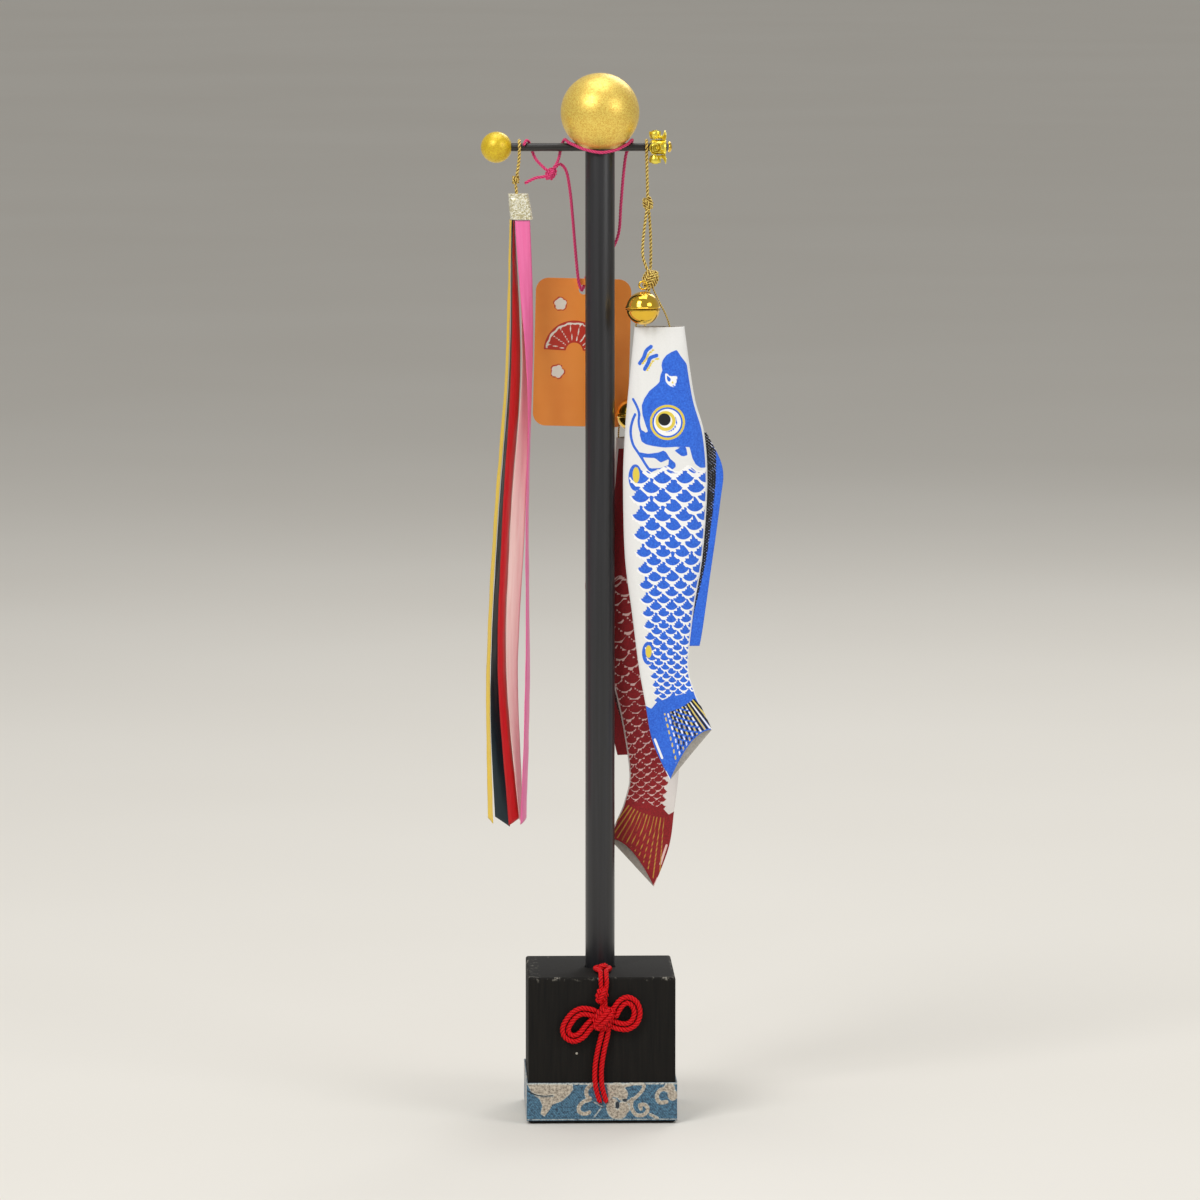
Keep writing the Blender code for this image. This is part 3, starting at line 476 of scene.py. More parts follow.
@dataclass(frozen=True)
class GoldPaint:
    """Metallic paint on a wooden ball: a satin gold full of fine flakes that glint one by one."""

    name: str = "gold_flake_paint"
    base: str = "#FCE070"
    deep: str = "#E2B144"
    flake_mm: float = 0.25
    metal: float = 0.6

    def make(self) -> bpy.types.Material:
        """Builds the material."""
        made, tree, shader = start_material(self.name, Metallic=self.metal, Roughness=0.42)
        shader.inputs["Coat Weight"].default_value = 0.2
        shader.inputs["Coat Roughness"].default_value = 0.3
        coord = add(tree, "ShaderNodeTexCoord")
        flakes = add(
            tree, "ShaderNodeTexVoronoi", {"Scale": 1 / (self.flake_mm * MM)},
            {"Vector": coord.outputs["Object"]}
        )
        parts = add(tree, "ShaderNodeSeparateColor", links={0: flakes.outputs["Color"]})
        ramp = add(tree, "ShaderNodeValToRGB", links={0: parts.outputs[0]})
        ramp.color_ramp.elements[0].color = colour(self.deep)
        ramp.color_ramp.elements[1].position, ramp.color_ramp.elements[1].color = 0.75, colour(
            self.base
        )
        rough = add(tree, "ShaderNodeMapRange", {3: 0.3, 4: 0.52}, {0: parts.outputs[1]})
        bump = add(
            tree, "ShaderNodeBump", {"Strength": 0.3, "Distance": 0.04 * MM},
            {"Height": parts.outputs[2]}
        )
        tree.links.new(ramp.outputs[0], shader.inputs["Base Color"])
        tree.links.new(rough.outputs[0], shader.inputs["Roughness"])
        tree.links.new(bump.outputs[0], shader.inputs["Normal"])
        return made


@dataclass(frozen=True)
class PlatedGold:
    """Polished gold plating on thin brass: a sharp mirror with a faint unevenness from pressing."""

    name: str = "polished_gold_plate"
    tone: str = "#F3C93E"
    rough: float = 0.13
    wave_mm: float = 1.6

    def make(self) -> bpy.types.Material:
        """Builds the material."""
        made, tree, shader = start_material(self.name, Metallic=1.0, Base_Color=colour(self.tone))
        shader.inputs["Coat Weight"].default_value = 0.45
        shader.inputs["Coat Roughness"].default_value = 0.05
        coord = add(tree, "ShaderNodeTexCoord")
        waves = add(
            tree, "ShaderNodeTexNoise", {"Scale": 1 / (self.wave_mm * MM), "Detail": 3.0},
            {"Vector": coord.outputs["Object"]}
        )
        rough = add(
            tree, "ShaderNodeMapRange", {3: self.rough * 0.7, 4: self.rough * 1.6},
            {0: waves.outputs[0]}
        )
        bump = add(
            tree, "ShaderNodeBump", {"Strength": 0.12, "Distance": 0.05 * MM},
            {"Height": waves.outputs[0]}
        )
        tree.links.new(rough.outputs[0], shader.inputs["Roughness"])
        tree.links.new(bump.outputs[0], shader.inputs["Normal"])
        return made


@dataclass(frozen=True)
class TwistedYarn:
    """Twisted cord yarn: fine threads run along each strand, with painted shade where the strands
    meet.
    """

    name: str
    light: str
    dark: str
    metallic: float = 0.0
    rough: float = 0.5
    sheen: float = 0.3
    thread_mm: float = 0.11
    gloss: float = 0.5

    def make(self) -> bpy.types.Material:
        """Builds the material on the strand's own map: metres along it and round it."""
        made, tree, shader = start_material(
            self.name, Metallic=self.metallic, Roughness=self.rough, Specular_IOR_Level=self.gloss
        )
        shader.inputs["Sheen Weight"].default_value = self.sheen
        shader.inputs["Sheen Roughness"].default_value = 0.4
        lay = add(tree, "ShaderNodeUVMap", uv_map="strand")
        slant = add(
            tree, "ShaderNodeMapping", {"Rotation": (0, 0, math.radians(24))}, {0: lay.outputs[0]}
        )
        threads = add(
            tree,
            "ShaderNodeTexWave",
            {"Scale": bands(self.thread_mm), "Distortion": 1.2, "Detail": 1.0},
            {"Vector": slant.outputs[0]},
            bands_direction="Y",
        )
        # painted shade: the attribute inward draws each strand's sides, where the strands meet,
        # towards the dark tone
        inner = add(tree, "ShaderNodeAttribute", attribute_name="inward")
        shade = add(
            tree, "ShaderNodeMapRange", {1: 0.0, 2: 1.0, 3: 1.0, 4: 0.0}, {0: inner.outputs["Fac"]}
        )
        thread = add(tree, "ShaderNodeMapRange", {3: 0.72, 4: 1.0}, {0: threads.outputs[1]})
        both = add(
            tree, "ShaderNodeMath", links={0: shade.outputs[0], 1: thread.outputs[0]},
            operation="MULTIPLY"
        )
        mixed = add(
            tree, "ShaderNodeMix", {6: colour(self.dark), 7: colour(self.light)},
            {0: both.outputs[0]}, data_type="RGBA"
        )
        bump = add(
            tree, "ShaderNodeBump", {"Strength": 0.5, "Distance": 0.04 * MM},
            {"Height": threads.outputs[1]}
        )
        tree.links.new(mixed.outputs[2], shader.inputs["Base Color"])
        tree.links.new(bump.outputs[0], shader.inputs["Normal"])
        return made


@dataclass(frozen=True)
class Satin:
    """Polyester satin ribbon: a smooth face that shines along its length, with fine cross ribs."""

    name: str
    light: str
    deep: str
    rough: float = 0.34
    rib_mm: float = 0.35

    def make(self) -> bpy.types.Material:
        """Builds the material on the ribbon's own map: metres across and along it."""
        made, tree, shader = start_material(self.name, Roughness=self.rough, IOR=1.5)
        shader.inputs["Sheen Weight"].default_value = 0.08
        shader.inputs["Sheen Roughness"].default_value = 0.35
        shader.inputs["Anisotropic"].default_value = 0.5
        lay = add(tree, "ShaderNodeUVMap", uv_map="ribbon")
        ribs = add(
            tree, "ShaderNodeTexWave", {"Scale": bands(self.rib_mm), "Distortion": 0.6},
            {"Vector": lay.outputs[0]}, bands_direction="Y"
        )
        long_at = add(tree, "ShaderNodeMapping", {"Scale": (1500, 60, 1)}, {0: lay.outputs[0]})
        streaks = add(
            tree, "ShaderNodeTexNoise", {"Scale": 1.0, "Detail": 3.0},
            {"Vector": long_at.outputs[0]}
        )
        edge = add(tree, "ShaderNodeAttribute", attribute_name="selvedge")
        mixed = add(
            tree, "ShaderNodeMix", {6: colour(self.deep), 7: colour(self.light)},
            {0: streaks.outputs[0]}, data_type="RGBA"
        )
        hem = add(
            tree, "ShaderNodeMix", {7: colour(self.deep)},
            {0: edge.outputs["Fac"], 6: mixed.outputs[2]}, data_type="RGBA"
        )
        height = add(
            tree, "ShaderNodeMath", links={0: ribs.outputs[1], 1: streaks.outputs[0]},
            operation="ADD"
        )
        bump = add(
            tree, "ShaderNodeBump", {"Strength": 0.2, "Distance": 0.03 * MM},
            {"Height": height.outputs[0]}
        )
        tree.links.new(hem.outputs[2], shader.inputs["Base Color"])
        tree.links.new(bump.outputs[0], shader.inputs["Normal"])
        return made


@dataclass(frozen=True)
class GlitterTape:
    """Champagne glitter tape: coarse flakes that each catch the light at their own angle."""

    name: str = "champagne_glitter_tape"
    flake_mm: float = 0.38

    def make(self) -> bpy.types.Material:
        """Builds the material."""
        made, tree, shader = start_material(self.name, Metallic=0.35)
        coord = add(tree, "ShaderNodeTexCoord")
        flakes = add(
            tree, "ShaderNodeTexVoronoi", {"Scale": 1 / (self.flake_mm * MM)},
            {"Vector": coord.outputs["Object"]}
        )
        parts = add(tree, "ShaderNodeSeparateColor", links={0: flakes.outputs["Color"]})
        ramp = add(tree, "ShaderNodeValToRGB", links={0: parts.outputs[0]})
        ramp.color_ramp.elements[0].color = colour("#B3A878")
        ramp.color_ramp.elements[1].color = colour("#FFFFF2")
        middle = ramp.color_ramp.elements.new(0.5)
        middle.color = colour("#EAE4C6")
        rough = add(tree, "ShaderNodeMapRange", {3: 0.18, 4: 0.55}, {0: parts.outputs[1]})
        bump = add(
            tree, "ShaderNodeBump", {"Strength": 0.8, "Distance": 0.12 * MM},
            {"Height": parts.outputs[2]}
        )
        tree.links.new(ramp.outputs[0], shader.inputs["Base Color"])
        tree.links.new(rough.outputs[0], shader.inputs["Roughness"])
        tree.links.new(bump.outputs[0], shader.inputs["Normal"])
        return made


@dataclass(frozen=True)
class PrintedCrepe:
    """Printed crepe: crisp inks on a fine, grainy weave, drawn from the cloth's fields."""

    name: str
    ground: str
    ink: str
    ink_deep: str
    line: str
    gold: str
    dark: str
    weave_mm: float = 0.55  # the real threads are about 0.25 mm, too fine to show

    def make(self) -> bpy.types.Material:
        """Builds the material."""
        made, tree, shader = start_material(self.name, Roughness=0.82)
        shader.inputs["Sheen Weight"].default_value = 0.25
        shader.inputs["Sheen Roughness"].default_value = 0.5
        coord = add(tree, "ShaderNodeTexCoord")
        scale = 1 / (self.weave_mm * MM)
        weave = add(
            tree, "ShaderNodeTexNoise", {"Scale": scale, "Detail": 2.0, "Roughness": 0.6},
            {"Vector": coord.outputs["Object"]}
        )
        cells = add(
            tree, "ShaderNodeTexVoronoi", {"Scale": scale}, {"Vector": coord.outputs["Object"]}
        )
        tint = add(tree, "ShaderNodeMapRange", {1: 0.3, 2: 0.7}, {0: weave.outputs[0]})
        ink = add(
            tree, "ShaderNodeMix", {6: colour(self.ink_deep), 7: colour(self.ink)},
            {0: tint.outputs[0]}, data_type="RGBA"
        )
        shown = ink.outputs[2]
        base = add(tree, "ShaderNodeMapRange", {3: 0.93, 4: 1.0}, {0: weave.outputs[0]})
        ground = add(
            tree, "ShaderNodeMix", {6: (0, 0, 0, 1), 7: colour(self.ground)}, {0: base.outputs[0]},
            data_type="RGBA"
        )
        layers = (("ink", None), ("line", self.line), ("gold", self.gold), ("dark", self.dark))
        under = ground.outputs[2]
        for field, tone in layers:
            drawn = add(tree, "ShaderNodeAttribute", attribute_name=field)
            # the ink's edge is 0.12 mm soft, as print on crepe is
            crisp = add(tree, "ShaderNodeMapRange", {1: -0.06, 2: 0.06}, {0: drawn.outputs["Fac"]})
            layer = add(
                tree, "ShaderNodeMix", {} if tone is None else {7: colour(tone)},
                {0: crisp.outputs[0], 6: under}, data_type="RGBA"
            )
            if tone is None:
                tree.links.new(shown, layer.inputs[7])
            under = layer.outputs[2]
        height = add(
            tree, "ShaderNodeMath", links={0: weave.outputs[0], 1: cells.outputs["Distance"]},
            operation="ADD"
        )
        bump = add(
            tree, "ShaderNodeBump", {"Strength": 0.35, "Distance": 0.07 * MM},
            {"Height": height.outputs[0]}
        )
        tree.links.new(under, shader.inputs["Base Color"])
        tree.links.new(bump.outputs[0], shader.inputs["Normal"])
        return made


@dataclass(frozen=True)
class PlainCrepe:
    """The cloth's unprinted back, where the ink shows through pale."""

    name: str
    tone: str

    def make(self) -> bpy.types.Material:
        """Builds the material."""
        made, tree, shader = start_material(self.name, Roughness=0.88)
        shader.inputs["Sheen Weight"].default_value = 0.2
        coord = add(tree, "ShaderNodeTexCoord")
        weave = add(
            tree, "ShaderNodeTexNoise", {"Scale": 1800.0, "Detail": 2.0},
            {"Vector": coord.outputs["Object"]}
        )
        tint = add(
            tree, "ShaderNodeMix", {6: colour("#8E8880"), 7: colour(self.tone)},
            {0: weave.outputs[0]}, data_type="RGBA"
        )
        bump = add(
            tree, "ShaderNodeBump", {"Strength": 0.3, "Distance": 0.06 * MM},
            {"Height": weave.outputs[0]}
        )
        tree.links.new(tint.outputs[2], shader.inputs["Base Color"])
        tree.links.new(bump.outputs[0], shader.inputs["Normal"])
        return made


@dataclass(frozen=True)
class WovenBrocade:
    """Jacquard brocade: a blue twill ground, beige scrolls in raised weft and a silver outline."""

    name: str = "woven_brocade"
    ground: str = "#50809C"
    ground_deep: str = "#15354C"
    scroll: str = "#CBBFAC"
    scroll_deep: str = "#7A6F62"
    outline: str = "#D2D3CA"
    thread_mm: float = 0.6  # the real threads are about 0.2 mm, too fine to show

    def make(self) -> bpy.types.Material:
        """Builds the material on the strip's own map: metres round the block and up it."""
        made, tree, shader = start_material(self.name, Roughness=0.6)
        shader.inputs["Sheen Weight"].default_value = 0.3
        lay = add(tree, "ShaderNodeUVMap", uv_map="strip")
        twill_at = add(
            tree, "ShaderNodeMapping", {"Rotation": (0, 0, math.radians(38))}, {0: lay.outputs[0]}
        )
        twill = add(
            tree, "ShaderNodeTexWave",
            {"Scale": bands(self.thread_mm), "Distortion": 2.5, "Detail": 2.0},
            {"Vector": twill_at.outputs[0]}
        )
        weft = add(
            tree, "ShaderNodeTexWave", {"Scale": bands(self.thread_mm), "Distortion": 1.0},
            {"Vector": lay.outputs[0]}, bands_direction="Y"
        )
        flecks = add(
            tree, "ShaderNodeTexNoise", {"Scale": 1300.0, "Detail": 3.0, "Roughness": 0.7},
            {"Vector": lay.outputs[0]}
        )
        soft = add(tree, "ShaderNodeMapRange", {3: 0.45, 4: 1.0}, {0: twill.outputs[1]})
        uneven = add(tree, "ShaderNodeMapRange", {1: 0.36, 2: 0.6}, {0: flecks.outputs[0]})
        tone = add(
            tree, "ShaderNodeMath", links={0: soft.outputs[0], 1: uneven.outputs[0]},
            operation="MULTIPLY"
        )
        spread = add(tree, "ShaderNodeMapRange", {1: 0.0, 2: 0.8}, {0: tone.outputs[0]})
        ground = add(
            tree, "ShaderNodeMix", {6: colour(self.ground_deep), 7: colour(self.ground)},
            {0: spread.outputs[0]}, data_type="RGBA"
        )
        beige = add(
            tree, "ShaderNodeMix", {6: colour(self.scroll_deep), 7: colour(self.scroll)},
            {0: uneven.outputs[0]}, data_type="RGBA"
        )
        motif = add(tree, "ShaderNodeAttribute", attribute_name="motif")
        inside = add(tree, "ShaderNodeMapRange", {1: -0.08, 2: 0.08}, {0: motif.outputs["Fac"]})
        woven = add(
            tree, "ShaderNodeMix",
            links={0: inside.outputs[0], 6: ground.outputs[2], 7: beige.outputs[2]},
            data_type="RGBA"
        )
        slit = add(tree, "ShaderNodeAttribute", attribute_name="slit")
        sunk = add(tree, "ShaderNodeMapRange", {1: -0.08, 2: 0.08}, {0: slit.outputs["Fac"]})
        body = add(
            tree, "ShaderNodeMix", {7: colour("#15242E")},
            {0: sunk.outputs[0], 6: woven.outputs[2]}, data_type="RGBA"
        )
        silver = add(tree, "ShaderNodeAttribute", attribute_name="silver")
        thread = add(tree, "ShaderNodeMapRange", {1: -0.08, 2: 0.08}, {0: silver.outputs["Fac"]})
        gaps = add(tree, "ShaderNodeMapRange", {1: 0.35, 2: 0.55}, {0: flecks.outputs[0]})
        broken = add(
            tree, "ShaderNodeMath", links={0: thread.outputs[0], 1: gaps.outputs[0]},
            operation="MULTIPLY"
        )
        mixed = add(
            tree, "ShaderNodeMix", {7: colour(self.outline)},
            {0: broken.outputs[0], 6: body.outputs[2]}, data_type="RGBA"
        )
        raised = add(tree, "ShaderNodeMath", {1: 1.5}, {0: inside.outputs[0]}, operation="MULTIPLY")
        threads = add(
            tree, "ShaderNodeMath", links={0: twill.outputs[1], 1: weft.outputs[1]}, operation="ADD"
        )
        height = add(
            tree, "ShaderNodeMath", links={0: raised.outputs[0], 1: threads.outputs[0]},
            operation="ADD"
        )
        bump = add(
            tree, "ShaderNodeBump", {"Strength": 0.5, "Distance": 0.07 * MM},
            {"Height": height.outputs[0]}
        )
        metal = add(tree, "ShaderNodeMath", {1: 0.6}, {0: broken.outputs[0]}, operation="MULTIPLY")
        tree.links.new(mixed.outputs[2], shader.inputs["Base Color"])
        tree.links.new(metal.outputs[0], shader.inputs["Metallic"])
        tree.links.new(bump.outputs[0], shader.inputs["Normal"])
        return made


@dataclass(frozen=True)
class PrintedCard:
    """Printed card: flat bright ink with a light varnish over the card's slight mottle."""

    name: str = "printed_card"
    ink: str = "#FDA044"
    ink_deep: str = "#F58E32"

    def make(self) -> bpy.types.Material:
        """Builds the material."""
        made, tree, shader = start_material(self.name, Roughness=0.42, IOR=1.5)
        coord = add(tree, "ShaderNodeTexCoord")
        mottle = add(
            tree, "ShaderNodeTexNoise", {"Scale": 140.0, "Detail": 4.0},
            {"Vector": coord.outputs["Object"]}
        )
        fibre = add(
            tree, "ShaderNodeTexNoise", {"Scale": 3000.0, "Detail": 2.0},
            {"Vector": coord.outputs["Object"]}
        )
        under = add(
            tree, "ShaderNodeMix", {6: colour(self.ink_deep), 7: colour(self.ink)},
            {0: mottle.outputs[0]}, data_type="RGBA"
        ).outputs[2]
        for field, tone in (("red", "#C8321E"), ("pale", "#F6EFE2")):
            drawn = add(tree, "ShaderNodeAttribute", attribute_name=field)
            crisp = add(tree, "ShaderNodeMapRange", {1: -0.04, 2: 0.04}, {0: drawn.outputs["Fac"]})
            under = add(
                tree, "ShaderNodeMix", {7: colour(tone)}, {0: crisp.outputs[0], 6: under},
                data_type="RGBA"
            ).outputs[2]
        bump = add(
            tree, "ShaderNodeBump", {"Strength": 0.1, "Distance": 0.03 * MM},
            {"Height": fibre.outputs[0]}
        )
        tree.links.new(under, shader.inputs["Base Color"])
        tree.links.new(bump.outputs[0], shader.inputs["Normal"])
        return made


@dataclass(frozen=True)
class PaleFloor:
    """A plain pale studio floor, faintly uneven in tone."""

    name: str = "studio_floor"

    def make(self) -> bpy.types.Material:
        """Builds the material."""
        made, tree, shader = start_material(self.name, Roughness=0.9)
        coord = add(tree, "ShaderNodeTexCoord")
        cloud = add(
            tree, "ShaderNodeTexNoise", {"Scale": 3.0, "Detail": 2.0},
            {"Vector": coord.outputs["Object"]}
        )
        mixed = add(
            tree, "ShaderNodeMix", {6: colour("#DDD9D1"), 7: colour("#E4E1DA")},
            {0: cloud.outputs[0]}, data_type="RGBA"
        )
        tree.links.new(mixed.outputs[2], shader.inputs["Base Color"])
        return made


# ---- twisted cords and knots -------------------------------------------------------------------


@dataclass
class Rope:
    """A cord twisted from strands, along any route."""

    name: str
    diameter: float
    strands: int = 3
    lay: float = 3.0  # one turn, in diameters
    sides: int = 8
    step: float = 0.22 * MM

    def frames(self, points: np.ndarray) -> tuple[np.ndarray, np.ndarray]:
        """Two directions square to the route at each point, that turn no more than it does."""
        way = np.gradient(points, axis=0)
        way /= np.linalg.norm(way, axis=1)[:, None]
        start = np.cross(way[0], (0.0, 0.0, 1.0))
        if np.linalg.norm(start) < 0.1:
            start = np.cross(way[0], (0.0, 1.0, 0.0))
        normals = [start / np.linalg.norm(start)]
        for along in way[1:]:
            kept = normals[-1] - along * float(along @ normals[-1])
            normals.append(kept / np.linalg.norm(kept))
        across = np.array(normals)
        return across, np.cross(way, across)

    def build(self, route: Sequence[Sequence[float]]) -> bpy.types.Object:
        """Builds the cord's strands as closed tubes round the route.

        Args:
            route: points in metres that the cord's middle follows.

        Returns:
            The new object, with the map "strand" and the attribute "inward", which paints shade
            where the strands meet.
        """
        points = np.array([tuple(p) for p in smooth_route(route, self.step)])
        gaps = np.linalg.norm(np.diff(points, axis=0), axis=1)
        along = np.concatenate([[0.0], np.cumsum(gaps)])
        across, beyond = self.frames(points)
        strand = self.diameter * {1: 0.5, 2: 0.27, 3: 0.25}[self.strands]
        middle = self.diameter / 2 - strand
        spots, faces, lays, inward = [], [], [], []
        taper = np.clip(np.minimum(along, along[-1] - along) / (0.4 * self.diameter), 0.35, 1.0)
        for index in range(self.strands):
            turn = 2 * math.pi * (along / (self.lay * self.diameter) + index / self.strands)
            out = across * np.cos(turn)[:, None] + beyond * np.sin(turn)[:, None]
            centre = points + middle * out
            side_a, side_b = self.frames(centre)
            first = sum(len(s) for s in spots)
            angles = 2 * math.pi * np.arange(self.sides) / self.sides
            hoop = (
                side_a[:, None, :] * np.cos(angles)[None, :, None]
                + side_b[:, None, :] * np.sin(angles)[None, :, None]
            )
            tube = centre[:, None, :] + strand * taper[:, None, None] * hoop
            spots.append(tube.reshape(-1, 3))
            facing = np.einsum("ijk,ik->ij", hoop, out)
            # inward is painted shade: 0 on a strand's outer side, up to 1 on the sides that face
            # the other strands
            inward.append(
                np.clip(0.78 - 1.0 * facing, 0, 1).reshape(-1)
                if self.strands > 1 else np.zeros(tube.size // 3)
            )
            rounds = len(points)
            grid = first + np.arange(rounds * self.sides).reshape(rounds, self.sides)
            next_side = np.roll(grid, -1, axis=1)
            quads = np.stack(
                [grid[:-1], next_side[:-1], next_side[1:], grid[1:]], axis=-1
            ).reshape(-1, 4)
            faces.extend(quads.tolist())
            faces.append(grid[0][::-1].tolist())
            faces.append(grid[-1].tolist())
            lays.append((along, strand))
        made = mesh_piece(self.name, np.concatenate(spots), faces)
        store(made, "inward", np.concatenate(inward))
        self.map_strands(made, lays)
        return made

    def map_strands(
        self, piece: bpy.types.Object, lays: Sequence[tuple[np.ndarray, float]]
    ) -> None:
        """Writes the map of metres along and round each strand."""
        values = []
        for along, strand in lays:
            hoop = np.arange(self.sides) / self.sides * 2 * math.pi * strand
            values.append(np.stack(np.meshgrid(along, hoop, indexing="ij"), axis=-1).reshape(-1, 2))
        by_vertex = np.concatenate(values)
        layer = piece.data.uv_layers.new(name="strand")
        corners = np.empty(len(piece.data.loops), np.int32)
        piece.data.loops.foreach_get("vertex_index", corners)
        layer.data.foreach_set("uv", by_vertex[corners].astype(np.float32).reshape(-1))


def wound_knot(
    centre: Place, size: Place, cord: float, slope: float, crossing: float, turns: int
) -> list[Vector]:
    """The route of a cord wound into a small knot: a close coil, and turns that cross over it.

    Args:
        centre: the knot's middle in metres.
        size: its width, depth and height in metres.
        cord: the cord's diameter.
        slope: how far in degrees the coil is tipped.
        crossing: how far in degrees the turns over it are tipped.
        turns: how many turns cross over it.

    Returns:
        Points of the route, inside the knot's size.
    """
    wide, deep, high = (s / 2 - cord / 2 for s in size)
    coils = max(2, round(2 * high / (0.98 * cord)))
    points = []
    for i in range(coils * 10 + 1):
        share = i / (coils * 10)
        a = 2 * math.pi * coils * share - 0.5 * math.pi
        up = high * (1 - 2 * share)
        slim = math.sqrt(max(0.1, 1 - (0.86 * up / high) ** 2))
        p = Vector(
            (
                (wide - 0.35 * cord) * slim * math.cos(a),
                (deep - 0.45 * cord) * slim * math.sin(a), 0.92 * up
            )
        )
        points.append(Matrix.Rotation(math.radians(slope), 3, "Y") @ p)
    for i in range(turns * 10 + 1):
        a = 2 * math.pi * i / 10 + 0.5 * math.pi
        drift = cord * 0.98 * (i / 10 - turns / 2)
        slim = math.sqrt(max(0.2, 1 - (drift / high) ** 2))
        p = Vector((wide * slim * math.cos(a), (deep + 0.1 * cord) * slim * math.sin(a), drift))
        points.append(Matrix.Rotation(math.radians(crossing), 3, "Y") @ p)
    return [Vector(centre) + p for p in points]


def core_ball(name: str, centre: Place, size: Place, cord: float) -> bpy.types.Object:
    """The cord hidden in the middle of a knot, as one lump under its wraps.

    Args:
        name: the lump's name.
        centre: its middle.
        size: the whole knot's size.
        cord: the cord's diameter.

    Returns:
        The lump, with the same map and attribute as a cord; the attribute paints it in shade.
    """
    deselect()
    bpy.ops.mesh.primitive_ico_sphere_add(subdivisions=4, radius=1.0, location=centre)
    lump = bpy.context.active_object
    lump.name = name
    lump.scale = [max(0.2 * MM, s / 2 - 0.8 * cord) for s in size]
    settle(lump)
    smooth(lump, 180)
    for layer in list(lump.data.uv_layers):
        lump.data.uv_layers.remove(layer)
    lump.data.uv_layers.new(name="strand")
    # painted shade: the lump takes mostly the yarn's dark tone, as the middle of a knot lies in
    # shade
    store(lump, "inward", np.full(len(lump.data.vertices), 0.8))
    return lump


class CordColour(Enum):
    """The yarns of the stand, each with its finish."""

    GOLD = TwistedYarn("gold_lame_yarn", "#FFE27A", "#6A3A06", metallic=0.35, rough=0.32, sheen=0.0)
    RED = TwistedYarn("red_rayon_yarn", "#E8121A", "#6E0208", rough=0.45, sheen=0.0, gloss=0.15)
    PINK = TwistedYarn("pink_acrylic_yarn", "#F2508C", "#B01248", rough=0.55, sheen=0.05, gloss=0.3)


@dataclass
class Cordage:
    """Makes cords and knots in one yarn each, and keeps the yarns' materials."""

    made: dict[CordColour, bpy.types.Material]

    @classmethod
    def ready(cls) -> "Cordage":
        """Builds the yarns' materials."""
        return cls({tone: tone.value.make() for tone in CordColour})

    def rope(self, name: str, tone: CordColour, diameter: float) -> Rope:
        """A rope with its yarn's strands and twist: the gold one has two, the others three."""
        strands, lay = {
            CordColour.GOLD: (2, 2.4), CordColour.RED: (3, 2.1), CordColour.PINK: (3, 3.0)
        }[tone]
        return Rope(name, diameter, strands, lay)

    def cord(
        self, name: str, tone: CordColour, route: Sequence[Sequence[float]], diameter: float,
        body: Body, nodes: Sequence[str]
    ) -> bpy.types.Object:
        """Makes one cord.

        Args:
            name: the piece's name.
            tone: its yarn.
            route: where its middle goes, in metres.
            diameter: its thickness in metres.
            body: the body it rides on.
            nodes: the CAD nodes it stands for.

        Returns:
            The new piece.
        """
        piece = self.rope(name, tone, diameter).build(route)
        dress(piece, self.made[tone])
        take_place(piece, body, *nodes)
        return piece

    def knot(
        self, name: str, tone: CordColour, centre: Place, size: Place, diameter: float, body: Body,
        slope: float, crossing: float, turns: int = 1, extra: bool = False
    ) -> bpy.types.Object:
        """Makes one knot of a cord, wound over a core, in the place of the CAD node of that name.

        Args:
            name: the CAD node's name.
            tone: its yarn.
            centre: its middle in metres.
            size: its width, depth and height in metres.
            diameter: the cord's thickness.
            body: the body it rides on.
            slope: how far in degrees its coil is tipped.
            crossing: how far in degrees the turns over it are tipped.
            turns: how many turns cross over it.
            extra: whether it stands for no node of its own.

        Returns:
            The new piece.
        """
        winding = self.rope(f"{name}_winding", tone, diameter).build(
            wound_knot(centre, size, diameter, slope, crossing, turns)
        )
        lump = core_ball(f"{name}_core", centre, size, diameter)
        piece = join(f"{name}_tied", [winding, lump])
        dress(piece, self.made[tone])
        take_place(piece, body, *(() if extra else (name,)))
        return piece


# ---- stand -------------------------------------------------------------------------------------


